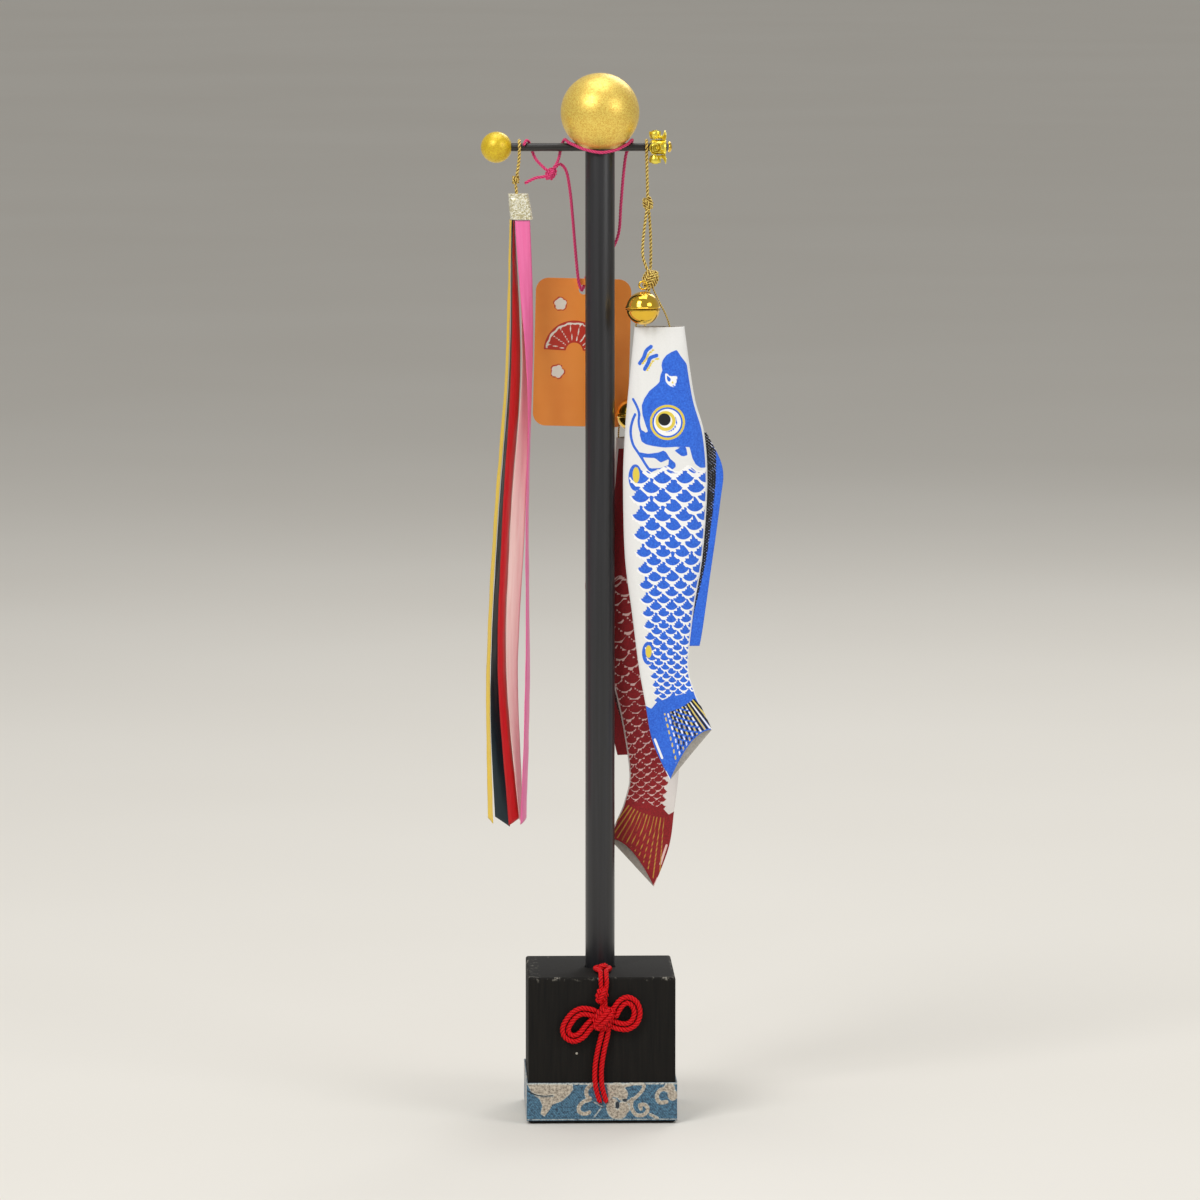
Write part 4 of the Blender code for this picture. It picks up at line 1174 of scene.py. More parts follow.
@dataclass
class Stand:
    """The block, the pole, the crossbar and the balls."""

    chamfer: float = 0.8 * MM
    socket: float = 15 * MM
    pole: float = 9 * MM
    pole_top: float = 302.25 * MM
    ball: float = 24 * MM
    bar: float = 2.5 * MM
    bar_left: float = -33.5 * MM
    bar_right: float = 20.6 * MM
    bar_ball: float = 9.5 * MM
    bar_ball_x: float = -31.6 * MM
    nail_x: float = 20.9 * MM

    def build(self) -> None:
        """Builds and dresses the whole stand."""
        self.block()
        self.dowels()
        self.balls()
        self.nail()

    def cutter(self, radius: float, start: Place, end: Place) -> bpy.types.Object:
        """A round rod from start to end, to cut a bore with."""
        low, high = Vector(start), Vector(end)
        deselect()
        bpy.ops.mesh.primitive_cylinder_add(
            vertices=96, radius=radius, depth=(high - low).length, location=(low + high) / 2
        )
        rod = bpy.context.active_object
        rod.rotation_euler = (high - low).to_track_quat("Z", "Y").to_euler()
        return rod

    def bore(self, piece: bpy.types.Object, cutter: bpy.types.Object) -> None:
        """Cuts a bore and throws the cutter away."""
        apply(piece, "BOOLEAN", operation="DIFFERENCE", solver="EXACT", object=cutter)
        bpy.data.objects.remove(cutter, do_unlink=True)

    def block(self) -> None:
        """The stained block, its edges eased and its socket for the pole bored."""
        deselect()
        bpy.ops.mesh.primitive_cube_add(size=BASE, location=(0, 0, BASE / 2))
        piece = settle(bpy.context.active_object)
        piece.name = "stained_block"
        apply(piece, "BEVEL", width=self.chamfer, segments=4, limit_method="ANGLE")
        self.bore(
            piece,
            self.cutter(
                self.pole / 2 + 0.3 * MM, (0, 0, BASE - self.socket), (0, 0, BASE + self.socket)
            )
        )
        smooth(piece, 30)
        dress(piece, StainedWood().make())
        take_place(piece, Body.STAND, "base_block")

    def dowels(self) -> None:
        """The pole, and the thin crossbar through it, each with eased ends."""
        low = BASE - self.socket + 0.3 * MM
        runs = (
            ("pole", self.pole / 2, (0, 0, low), (0, 0, self.pole_top), PaintedDowel()),
            (
                "crossbar",
                self.bar / 2,
                (self.bar_left, 0, BAR.z),
                (self.bar_right, 0, BAR.z),
                PaintedDowel("satin_black_paint", "#141210", "#221E1B", 0),
            ),
        )
        for node, radius, start, end, finish in runs:
            piece = settle(self.cutter(radius, start, end))
            piece.name = f"{node}_dowel"
            apply(piece, "BEVEL", width=0.12 * radius, segments=3, limit_method="ANGLE")
            if node == "pole":
                reach = self.pole
                self.bore(
                    piece,
                    self.cutter(self.bar / 2 + 0.3 * MM, (-reach, 0, BAR.z), (reach, 0, BAR.z))
                )
            smooth(piece, 35)
            dress(piece, finish.make())
            take_place(piece, Body.STAND, node)

    def balls(self) -> None:
        """The big gold ball on the pole and the small one on the crossbar's end."""
        deselect()
        bpy.ops.mesh.primitive_uv_sphere_add(
            segments=128, ring_count=64, radius=self.ball / 2, location=(0, 0, BALL_Z)
        )
        big = settle(bpy.context.active_object)
        big.name = "gold_ball"
        clear = self.bar + 0.6 * MM
        self.bore(
            big,
            self.cutter(
                self.pole / 2 + 0.3 * MM, (0, 0, BALL_Z - self.ball),
                (0, 0, self.pole_top + 0.3 * MM)
            )
        )
        bpy.ops.mesh.primitive_cube_add(
            size=1.0, location=(0, 0, BAR.z + clear / 2 - self.ball / 4)
        )
        notch = bpy.context.active_object
        notch.scale = (2 * self.ball, clear, self.ball / 2)
        self.bore(big, notch)
        smooth(big, 35)
        dress(big, GoldPaint().make())
        take_place(big, Body.STAND, "finial_ball")
        deselect()
        bpy.ops.mesh.primitive_uv_sphere_add(
            segments=96, ring_count=48, radius=self.bar_ball / 2,
            location=(self.bar_ball_x, 0, BAR.z)
        )
        small = settle(bpy.context.active_object)
        small.name = "yellow_ball"
        start = self.bar_left - 0.3 * MM
        self.bore(
            small,
            self.cutter(
                self.bar / 2 + 0.3 * MM, (start, 0, BAR.z), (start + self.bar_ball, 0, BAR.z)
            )
        )
        smooth(small, 35)
        dress(
            small, GoldPaint("yellow_gold_paint", "#E6C824", "#D2AA18", 0.3, 0.35).make(),
        )
        take_place(small, Body.STAND, "crossbar_ball")

    def nail(self) -> None:
        """The domed nail that keeps the flower wheel on."""
        deselect()
        bpy.ops.mesh.primitive_uv_sphere_add(segments=40, ring_count=20, radius=1.0)
        piece = bpy.context.active_object
        piece.name = "domed_nail"
        piece.scale = (1.1 * MM, 1.75 * MM, 1.75 * MM)
        piece.location = (self.nail_x, 0, BAR.z)
        settle(piece)
        deselect()
        piece.select_set(True)
        bpy.context.view_layer.objects.active = piece
        bpy.ops.object.mode_set(mode="EDIT")
        bpy.ops.mesh.select_all(action="SELECT")
        bpy.ops.mesh.bisect(
            plane_co=(self.nail_x, 0, BAR.z), plane_no=(-1, 0, 0), clear_outer=True, use_fill=True
        )
        bpy.ops.object.mode_set(mode="OBJECT")
        smooth(piece, 50)
        dress(piece, PlatedGold("plated_nail").make())
        take_place(piece, Body.STAND, "bar_end_nail")


# ---- brocade -----------------------------------------------------------------------------------


@dataclass
class BrocadeBand:
    """The strip of brocade round the block's foot."""

    lift: float = 0.8 * MM
    height: float = 11.7 * MM
    gap: float = 0.35 * MM
    thickness: float = 0.35 * MM
    seam: float = 0.25 * MM
    grid: float = 0.36 * MM

    def motif(self, at: np.ndarray) -> tuple[np.ndarray, np.ndarray, np.ndarray]:
        """The scrolls and flowers of one side.

        Args:
            at: millimetres across the side from its middle, and up from the table.

        Returns:
            The beige areas, the silver threads and the dark slits, as distances inside them.
        """
        leaf = shape(
            at,
            (
                (-22.7, 12.0), (-18.6, 12.3), (-14.8, 12.2), (-9.0, 12.0), (-8.9, 10.4),
                (-10.1, 8.8), (-12.3, 6.9), (-15.2, 5.8), (-16.1, 4.2), (-17.6, 2.2), (-18.8, 3.0),
                (-18.2, 5.5), (-19.1, 7.6), (-21.4, 9.2)
            ),
        )
        slit = stroke(at, ((-22.6, 10.0), (-20.4, 8.9), (-18.0, 8.4), (-15.0, 8.5)), 0.55)
        heart = over(
            disc(at, (4.6, 10.3), 2.5, 2.4),
            disc(at, (6.2, 8.9), 1.7, 2.0),
            disc(at, (3.4, 4.8), 2.0, 2.9),
            disc(at, (6.4, 4.6), 2.0, 2.0),
            disc(at, (4.8, 2.8), 2.6, 1.5),
            stroke(at, ((2.2, 11.6), (2.6, 8.4), (2.0, 5.0)), 1.4),
        )
        eye = over(disc(at, (4.7, 5.6), 0.7, 1.3), disc(at, (6.9, 7.1), 0.9, 0.5))
        hooks = over(
            stroke(
                at,
                (
                    (-3.2, 12.0), (-4.7, 10.4), (-4.6, 8.4), (-3.6, 7.4), (-5.6, 6.7), (-7.1, 5.0),
                    (-6.8, 3.4), (-5.2, 2.9), (-3.9, 3.4)
                ),
                1.15
            ),
            stroke(
                at, ((7.0, 11.6), (9.8, 12.2), (12.6, 12.0), (12.4, 10.2), (9.9, 7.6), (7.6, 6.4)),
                1.0
            ),
            stroke(
                at,
                (
                    (9.2, 7.4), (9.0, 4.8), (10.4, 2.6), (12.6, 2.5), (14.0, 4.0), (13.3, 5.6),
                    (11.6, 5.6), (11.9, 4.4)
                ),
                1.1
            ),
            stroke(at, ((19.7, 6.5), (17.6, 6.4), (16.8, 8.2), (17.6, 10.0), (19.3, 10.6)), 1.2),
            disc(at, (20.6, 10.8), 1.7, 1.5), disc(at, (21.6, 8.6), 1.5, 1.7),
            stroke(at, ((14.8, 2.6), (17.0, 1.5)), 0.8),
        )
        beige = np.minimum(over(leaf, heart, hooks), -over(slit, eye))
        threads = over(
            0.12 - np.abs(beige - 0.05),
            stroke(at, ((-2.6, 6.6), (0.4, 5.0)), 0.4),
            stroke(at, ((-2.4, 1.9), (-0.4, 4.6)), 0.45),
            0.26 - np.abs(at[:, 1] - 12.2),
            0.14 - np.abs(at[:, 1] - 1.2),
        )
        return beige, threads, over(slit, eye)

    def build(self) -> None:
        reach = BASE / 2 + self.gap
        corners = [
            (self.seam, reach), (reach, reach), (reach, -reach), (-reach, -reach), (-reach, reach),
            (-self.seam, reach)
        ]
        line = [Vector((x, y, 0)) for x, y in corners]
        stops = np.concatenate([[0.0], np.cumsum([(b - a).length for a, b in zip(line, line[1:])])])
        round_by = np.linspace(0, stops[-1], round(stops[-1] / self.grid) + 1)
        for stop in stops[1:-1]:
            round_by[np.argmin(np.abs(round_by - stop))] = stop
        ways = np.stack(
            [np.interp(round_by, stops, [getattr(p, k) for p in line]) for k in "xy"], axis=1
        )
        ups = np.linspace(self.lift, self.lift + self.height, round(self.height / self.grid) + 1)
        count, rows = len(round_by), len(ups)
        points = np.array([(x, y, z) for z in ups for x, y in ways])
        lean = np.array(
            [noise.noise(Vector((400 * p[0] + 300 * p[1], 250 * p[2], 2.0))) for p in points]
        )
        out = points[:, :2] / np.abs(points[:, :2]).max(axis=1)[:, None]
        points[:, :2] += out * (0.03 * MM * lean)[:, None]
        number = np.arange(count * rows).reshape(rows, count)
        quads = np.stack(
            [number[:-1, :-1], number[1:, :-1], number[1:, 1:], number[:-1, 1:]], axis=-1
        ).reshape(-1, 4)
        piece = mesh_piece("brocade_strip", points, quads)
        side = 2 * reach
        # the weaving starts again on each side
        phase = (np.tile(round_by, rows) - stops[2]) / side
        local = (0.5 - np.mod(phase, 1.0)) * side / MM
        beige, threads, slits = self.motif(np.stack([local, points[:, 2] / MM], axis=1))
        store(piece, "motif", beige)
        store(piece, "silver", threads)
        store(piece, "slit", slits)
        layer = piece.data.uv_layers.new(name="strip")
        by_vertex = np.stack([np.tile(round_by, rows), np.repeat(ups, count)], axis=1)
        used = np.empty(len(piece.data.loops), np.int32)
        piece.data.loops.foreach_get("vertex_index", used)
        layer.data.foreach_set("uv", by_vertex[used].astype(np.float32).reshape(-1))
        apply(piece, "SOLIDIFY", thickness=self.thickness, offset=0.0)
        dress(piece, WovenBrocade().make())
        take_place(piece, Body.STAND, "brocade_band")


# ---- red bow -----------------------------------------------------------------------------------


@dataclass
class Bow:
    """The red cord tied in a double bow on the block's front."""

    cord: float = 1.5 * MM
    deep: float = 0.0

    def sideways(self, points: Sequence[Flat], distance: float) -> list[Flat]:
        """The same open run of points, moved sideways by a distance to its right."""
        moved = []
        for i, (x, z) in enumerate(points):
            x0, z0 = points[max(i - 1, 0)]
            x1, z1 = points[min(i + 1, len(points) - 1)]
            long = math.hypot(x1 - x0, z1 - z0)
            moved.append((x + distance * (z1 - z0) / long, z - distance * (x1 - x0) / long))
        return moved

    def build(self, cordage: Cordage) -> None:
        """Builds the loops, the knots and the tails."""
        half = self.cord / 2
        lift = BASE + 0.3 * MM + half
        face = FRONT - 0.3 * MM - half
        one_side = (
            (0.6, face - 0.7 * MM, BASE - 10.2 * MM),
            (0.4, face - 0.4 * MM, BASE - 6.0 * MM),
            (0.85, face - 0.4 * MM, BASE - 1.9 * MM),
            (0.85, face - 0.3 * MM, BASE - 0.2 * MM),
            (0.85, FRONT + 1.4 * MM, lift + 0.3 * MM),
            (0.95, FRONT + 6.0 * MM, lift),
            (1.9, FRONT + 9.6 * MM, lift),
            (2.2, FRONT + 12.0 * MM, lift),
            (1.2, FRONT + 13.9 * MM, lift),
        )
        right = [((0.5 + x) * MM, y, z) for x, y, z in one_side]
        left = [((0.5 - x) * MM, y, z) for x, y, z in reversed(one_side)]
        route = right + left
        top = cordage.cord(
            "bow_top_cord", CordColour.RED, route, self.cord, Body.STAND, ["bow_top_loop"]
        )
        path = smooth_route(route, self.cord)
        deep = face - 0.7 * MM
        red, body = CordColour.RED, Body.STAND
        cordage.knot(
            "bow_top_turn", red, (0.5 * MM, FRONT + 11.6 * MM, lift + 0.4 * MM),
            (4.4 * MM, 3.6 * MM, 2.4 * MM), self.cord, body, 6, -8, extra=True
        )
        cordage.knot(
            "bow_neck_knot", red, (-0.1 * MM, deep - 0.4 * MM, BASE - 5.2 * MM),
            (5.4 * MM, 3.7 * MM, 5.8 * MM), self.cord, body, 14, -55
        )
        cordage.knot(
            "bow_centre_knot", red, (0.5 * MM, deep - 0.9 * MM, BASE - 12.2 * MM),
            (7.9 * MM, 4.7 * MM, 9.2 * MM), self.cord, body, 28, -40, 2
        )
        loops = {
            "left": (
                (-1.4, -10.2), (-3.9, -9.4), (-6.8, -9.3), (-9.6, -11.0), (-11.9, -14.6),
                (-11.6, -17.8), (-8.8, -19.4), (-5.8, -18.2), (-3.6, -15.6), (-1.6, -13.6)
            ),
            "right": (
                (2.4, -11.4), (3.9, -8.6), (5.6, -6.6), (8.0, -5.8), (10.6, -7.4), (11.6, -10.6),
                (10.6, -13.9), (8.0, -15.7), (5.0, -15.6), (2.4, -14.6)
            ),
        }
        plump = 1.08 * self.cord
        for side, points in loops.items():
            inward = (self.cord + 0.3 * MM) / MM * (-1 if side == "left" else 1)
            for strand, run in (("outer", points), ("inner", self.sideways(points, inward))):
                route = [(x * MM, deep - 0.3 * MM, BASE + z * MM) for x, z in run]
                cordage.cord(
                    f"bow_{side}_{strand}_cord", red, route, plump, body,
                    [f"bow_{side}_loop_{strand}"]
                )
        drop = face - 0.8 * MM
        heights = (-14.0, -17.4, -22.4, -28.0, -33.4, -38.6)
        tails = {
            "left": (0.6, -0.2, -1.4, -2.2, -2.0, -0.6), "right": (2.1, 1.7, 0.6, -0.2, 0.0, 1.4)
        }
        for side, places in tails.items():
            route = [(x * MM, drop, BASE + z * MM) for x, z in zip(places, heights)]
            cordage.cord(f"bow_{side}_tail_cord", red, route, plump, body, [f"bow_{side}_tail"])


# ---- ribbons -----------------------------------------------------------------------------------


@dataclass
class Ribbon:
    """One satin ribbon: where it hangs, how it turns and how its end is cut."""

    tone: str
    finish: Satin
    places: tuple[Place, ...]
    cup: float
    cut: float


@dataclass
class RibbonBunch:
    """The gold loop, its knot, the glitter cap and the five satin ribbons."""

    x: float = -24.6
    width: float = 4.6 * MM
    thickness: float = 0.14 * MM
    length: float = 185 * MM
    cap_height: float = 7.7 * MM
    cap_depth: float = 5.4 * MM
    cord: float = 1.0 * MM
    across: int = 10
    step: float = 0.9 * MM

    def ribbons(self) -> list[Ribbon]:
        """The five ribbons: x, y in mm and turn in degrees, from the cap by quarters to the end."""
        return [
            Ribbon(
                "yellow", Satin("yellow_satin", "#FFE03A", "#F2C11C"),
                (
                    (-27.3, 0.4, 95), (-28.5, 0.9, 98), (-31.9, 1.2, 101), (-34.2, 1.4, 102),
                    (-33.6, 1.2, 108)
                ),
                0.25, 0.6
            ),
            Ribbon(
                "dark", Satin("dark_teal_satin", "#15323B", "#081A20"),
                (
                    (-26.7, 0.4, 84), (-27.2, 0.4, 76), (-30.2, 0.6, 64), (-32.2, 0.4, 55),
                    (-30.0, -1.0, 4)
                ),
                -0.4, -1.6
            ),
            Ribbon(
                "red", Satin("scarlet_satin", "#DE0812", "#AE040C"),
                (
                    (-26.2, 0.4, 84), (-25.7, -0.9, 52), (-28.6, -0.4, 58), (-29.9, -0.6, 56),
                    (-26.4, -1.3, 46)
                ),
                0.6, 0.9
            ),
            Ribbon(
                "pale", Satin("pale_salmon_satin", "#F7DDD8", "#E8BDB5"),
                (
                    (-25.5, 0.8, 84), (-23.1, 0.4, 68), (-25.2, 0.6, 15), (-27.0, 0.8, 42),
                    (-24.3, 1.2, 76)
                ),
                -0.5, -0.7
            ),
            Ribbon(
                "pink", Satin("pink_satin", "#FC86BE", "#F0609F"),
                (
                    (-23.7, -2.1, 3), (-21.4, -0.4, 74), (-22.2, 0.0, 78), (-22.1, 0.2, 73),
                    (-23.4, 0.2, 66)
                ),
                0.5, 0.8
            ),
        ]

    def build(self, cordage: Cordage) -> None:
        """Builds the hanger, the cap and the ribbons."""
        gold = CordColour.GOLD
        knot_z = BAR.z - 9.9 * MM
        foot = ((self.x - 0.8) * MM, 0.0, knot_z + 1.0 * MM)
        cordage.cord(
            "ribbon_loop_cord", gold, bar_loop(self.x * MM, foot, 0.65 * MM), self.cord,
            Body.HANGER, ["ribbon_hanging_loop"]
        )
        knot_x = (self.x - 1.1) * MM
        cordage.knot(
            "ribbon_knot", gold, (knot_x, 0, knot_z), (3.1 * MM, 2.8 * MM, 3.4 * MM),
            0.8 * self.cord, Body.HANGER, 10, 60
        )
        cap_top = BAR.z - 14.2 * MM
        short = [
            (knot_x, 0, knot_z - 1.2 * MM), (knot_x + 0.1 * MM, 0, knot_z - 2.6 * MM),
            (knot_x + 0.3 * MM, 0, cap_top - 0.7 * MM)
        ]
        cordage.cord("ribbon_neck_cord", gold, short, self.cord, Body.RIBBONS, ["ribbon_cap_cord"])
        self.cap(cap_top)
        for ribbon in self.ribbons():
            self.strip(ribbon, cap_top - self.cap_height - 0.3 * MM)

    def cap(self, top: float) -> None:
        """The glitter tape folded round the ribbons' upper ends, creased and open at its foot."""
        rows, columns = 40, 96
        points = []
        for row in range(rows + 1):
            share = row / rows
            half, x = 3.15 + 0.35 * share, -24.95 + 1.05 * share
            for column in range(columns):
                a = 2 * math.pi * column / columns
                wide = math.copysign(abs(math.cos(a)) ** 0.5, math.cos(a))
                thick = math.copysign(abs(math.sin(a)) ** 0.6, math.sin(a))
                crease = 1 + 0.035 * noise.noise(Vector((2.2 * wide, 3 * thick, 1.3 * share + 5)))
                dent = 0.12 * math.exp(
                    -(((share - 0.12) / 0.09) ** 2)
                ) + 0.05 * math.exp(-(((share - 0.9) / 0.05) ** 2))
                points.append(
                    (
                        (x + half * wide * (1 - 0.4 * dent)) * MM,
                        self.cap_depth / 2 * thick * crease * (1 - dent),
                        top - self.cap_height * share
                    )
                )
        number = np.arange(len(points)).reshape(rows + 1, columns)
        turned = np.roll(number, -1, axis=1)
        faces = np.stack(
            [number[:-1], number[1:], turned[1:], turned[:-1]], axis=-1
        ).reshape(-1, 4).tolist()
        faces.append(number[0].tolist())
        piece = mesh_piece("glitter_cap", np.array(points), faces)
        apply(piece, "SOLIDIFY", thickness=0.22 * MM, offset=-1.0)
        smooth(piece, 50)
        dress(piece, GlitterTape().make())
        take_place(piece, Body.RIBBONS, "ribbon_cap")

    def strip(self, ribbon: Ribbon, top: float) -> None:
        """Args:
            ribbon: its finish and its hang.
            top: the height where it leaves the cap.
        """
        last = len(ribbon.places) - 1
        heights = [top - self.length * i / last for i in range(last + 1)]
        route = smooth_route(
            [(x * MM, y * MM, z) for (x, y, _), z in zip(ribbon.places, heights)], self.step
        )
        turns = smooth_route(
            [(turn, 0, -100 * i) for i, (_, _, turn) in enumerate(ribbon.places)],
            100 * last / (len(route) - 1)
        )
        steps = np.linspace(0, len(turns) - 1, len(route))
        angles = np.radians(np.interp(steps, np.arange(len(turns)), [t.x for t in turns]))
        points, lays, hems = [], [], []
        for row, (middle, angle) in enumerate(zip(route, angles)):
            share = row / (len(route) - 1)
            fine = noise.noise(Vector((7.0 * share, ribbon.cup * 9, 3.0)))
            cup = ribbon.cup * (0.55 + 0.45 * fine) * min(1.0, 6 * share + 0.15)
            for column in range(self.across + 1):
                u = 2 * column / self.across - 1
                deep = (u * u - 0.4) * cup * MM * 0.8
                curl = 0.12 * MM * noise.noise(Vector((2.0 * u, 26 * share, ribbon.cup * 5)))
                slant = ribbon.cut * u * MM * max(0.0, (share - 0.9) / 0.1)
                wide = Vector((math.cos(angle), math.sin(angle), 0)) * (u * self.width / 2)
                out = Vector((-math.sin(angle), math.cos(angle), 0)) * (deep + curl)
                points.append(tuple(middle + wide + out + Vector((0, 0, slant))))
                lays.append((u * self.width / 2, share * self.length))
                hems.append(max(0.0, (abs(u) - 0.86) / 0.14) * 0.6)
        number = np.arange(len(points)).reshape(-1, self.across + 1)
        quads = np.stack(
            [number[:-1, :-1], number[1:, :-1], number[1:, 1:], number[:-1, 1:]], axis=-1
        ).reshape(-1, 4)
        piece = mesh_piece(f"{ribbon.tone}_ribbon", np.array(points), quads)
        store(piece, "selvedge", np.array(hems))
        layer = piece.data.uv_layers.new(name="ribbon")
        used = np.empty(len(piece.data.loops), np.int32)
        piece.data.loops.foreach_get("vertex_index", used)
        layer.data.foreach_set("uv", np.array(lays)[used].astype(np.float32).reshape(-1))
        apply(piece, "SOLIDIFY", thickness=self.thickness, offset=0.0)
        dress(piece, ribbon.finish.make())
        take_place(piece, Body.RIBBONS, f"ribbon_{ribbon.tone}")


def bar_loop(x: float, foot: Place, spread: float) -> list[Vector]:
    """The route of a gold cord that goes up in front of the bar, over it and down behind.

    Args:
        x: where it crosses the bar.
        foot: where its two runs meet.
        spread: how far apart they are there.

    Returns:
        Points of the route in metres.
    """
    radius = 2.05 * MM
    turns = [math.radians(-40 + i * 260 / 9) for i in range(10)]
    loop = [Vector((x, -radius * math.cos(a), BAR.z + radius * math.sin(a))) for a in turns]
    low = Vector(foot)
    close = Vector((0.8 * x + 0.2 * low.x, -0.55 * radius, BAR.z - 2.2 * radius))
    away = Vector((close.x, -close.y, close.z))
    return [low - Vector((0, spread, 0)), close, *loop, away, low + Vector((0, spread, 0))]


# ---- bells -------------------------------------------------------------------------------------


@dataclass
class Bell:
    """A jingle bell: two pressed half shells with a rolled seam, a slot, an eye and a pellet."""

    name: str
    centre: Place
    body: Body
    pellet_body: str
    diameter: float = 10.3 * MM
    wall: float = 0.5 * MM
    slot: float = 1.3 * MM
    pellet: float = 3.4 * MM

    def profile_shell(self, lower: bool) -> bpy.types.Object:
        """One half shell, spun from its wall's outline, with the lip where the halves meet."""
        outer, inner, seam = self.diameter / 2, self.diameter / 2 - self.wall, 0.15 * MM
        turn = [math.radians(90 - 90 * i / 24) for i in range(25)]
        wall = [(outer * math.sin(a), outer * math.cos(a)) for a in turn]
        hollow = [(inner * math.sin(a), inner * math.cos(a)) for a in reversed(turn)]
        lip = [
            (outer, seam), (outer + 0.28 * MM, seam + 0.02 * MM),
            (outer + 0.32 * MM, seam + 0.26 * MM), (outer + 0.1 * MM, seam + 0.5 * MM)
        ]
        if lower:
            lip = lip[:1] + [
                (outer + 0.2 * MM, seam + 0.02 * MM), (outer + 0.22 * MM, seam + 0.3 * MM),
                (outer, seam + 0.5 * MM)
            ]
        ring_points = lip + [
            p for p in wall if p[1] > seam + 0.6 * MM
        ] + [p for p in hollow if p[1] > seam] + [(inner, seam)]
        ring_points = [(max(r, 0.0), -h if lower else h) for r, h in ring_points]
        mesh = bpy.data.meshes.new(self.name)
        mesh.from_pydata(
            [(r, 0.0, h) for r, h in ring_points],
            [(i, (i + 1) % len(ring_points)) for i in range(len(ring_points))], []
        )
        made = bpy.data.objects.new(self.name, mesh)
        bpy.context.scene.collection.objects.link(made)
        deselect()
        made.select_set(True)
        bpy.context.view_layer.objects.active = made
        bpy.ops.object.mode_set(mode="EDIT")
        bpy.ops.mesh.select_all(action="SELECT")
        bpy.ops.mesh.spin(steps=72, angle=2 * math.pi, center=(0, 0, 0), axis=(0, 0, 1))
        bpy.ops.mesh.select_all(action="SELECT")
        bpy.ops.mesh.remove_doubles(threshold=1e-6)
        bpy.ops.mesh.normals_make_consistent(inside=False)
        bpy.ops.object.mode_set(mode="OBJECT")
        made.location = self.centre
        return settle(made)

    def build(self, plate: bpy.types.Material) -> None:
        """Builds the bell's pieces.

        Args:
            plate: the gold plating they share.
        """
        for lower in (False, True):
            shell = self.profile_shell(lower)
            if lower:
                deselect()
                bpy.ops.mesh.primitive_cube_add(
                    size=1.0, location=Vector(self.centre) - Vector((0, 0, 0.62 * self.diameter))
                )
                cutter = bpy.context.active_object
                cutter.scale = (0.75 * self.diameter, self.slot, 0.78 * self.diameter)
                apply(shell, "BOOLEAN", operation="DIFFERENCE", solver="EXACT", object=cutter)
                bpy.data.objects.remove(cutter, do_unlink=True)
            name = f"{self.name}_bell_{'bottom' if lower else 'top'}"
            shell.name = f"{name}_shell"
            smooth(shell, 38)
            dress(shell, plate)
            take_place(shell, self.body, name)
        self.eye(plate)
        self.pea(plate)

    def eye(self, plate: bpy.types.Material) -> None:
        """The wire eye on top."""
        foot = Vector(self.centre) + Vector((0, 0, self.diameter / 2 + 0.3 * MM))
        deselect()
        bpy.ops.mesh.primitive_torus_add(
            major_radius=1.2 * MM, minor_radius=0.3 * MM, major_segments=48, minor_segments=14,
            location=foot + Vector((0, 0, 1.55 * MM)), rotation=(math.pi / 2, 0, 0),
        )
        wire = settle(bpy.context.active_object)
        wire.name = f"{self.name}_bell_eye_wire"
        smooth(wire, 180)
        dress(wire, plate)
        take_place(wire, self.body, f"{self.name}_bell_eye")

    def pea(self, plate: bpy.types.Material) -> None:
        """The pellet that rattles inside."""
        drop = self.diameter / 2 - self.wall - 0.3 * MM - self.pellet / 2
        deselect()
        bpy.ops.mesh.primitive_ico_sphere_add(
            subdivisions=4, radius=self.pellet / 2,
            location=Vector(self.centre) - Vector((0, 0, drop))
        )
        ball = settle(bpy.context.active_object)
        ball.name = f"{self.name}_bell_pea"
        smooth(ball, 180)
        dress(ball, plate)
        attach(ball, self.pellet_body)
        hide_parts(f"{self.name}_bell_pellet")


# ---- carps -------------------------------------------------------------------------------------


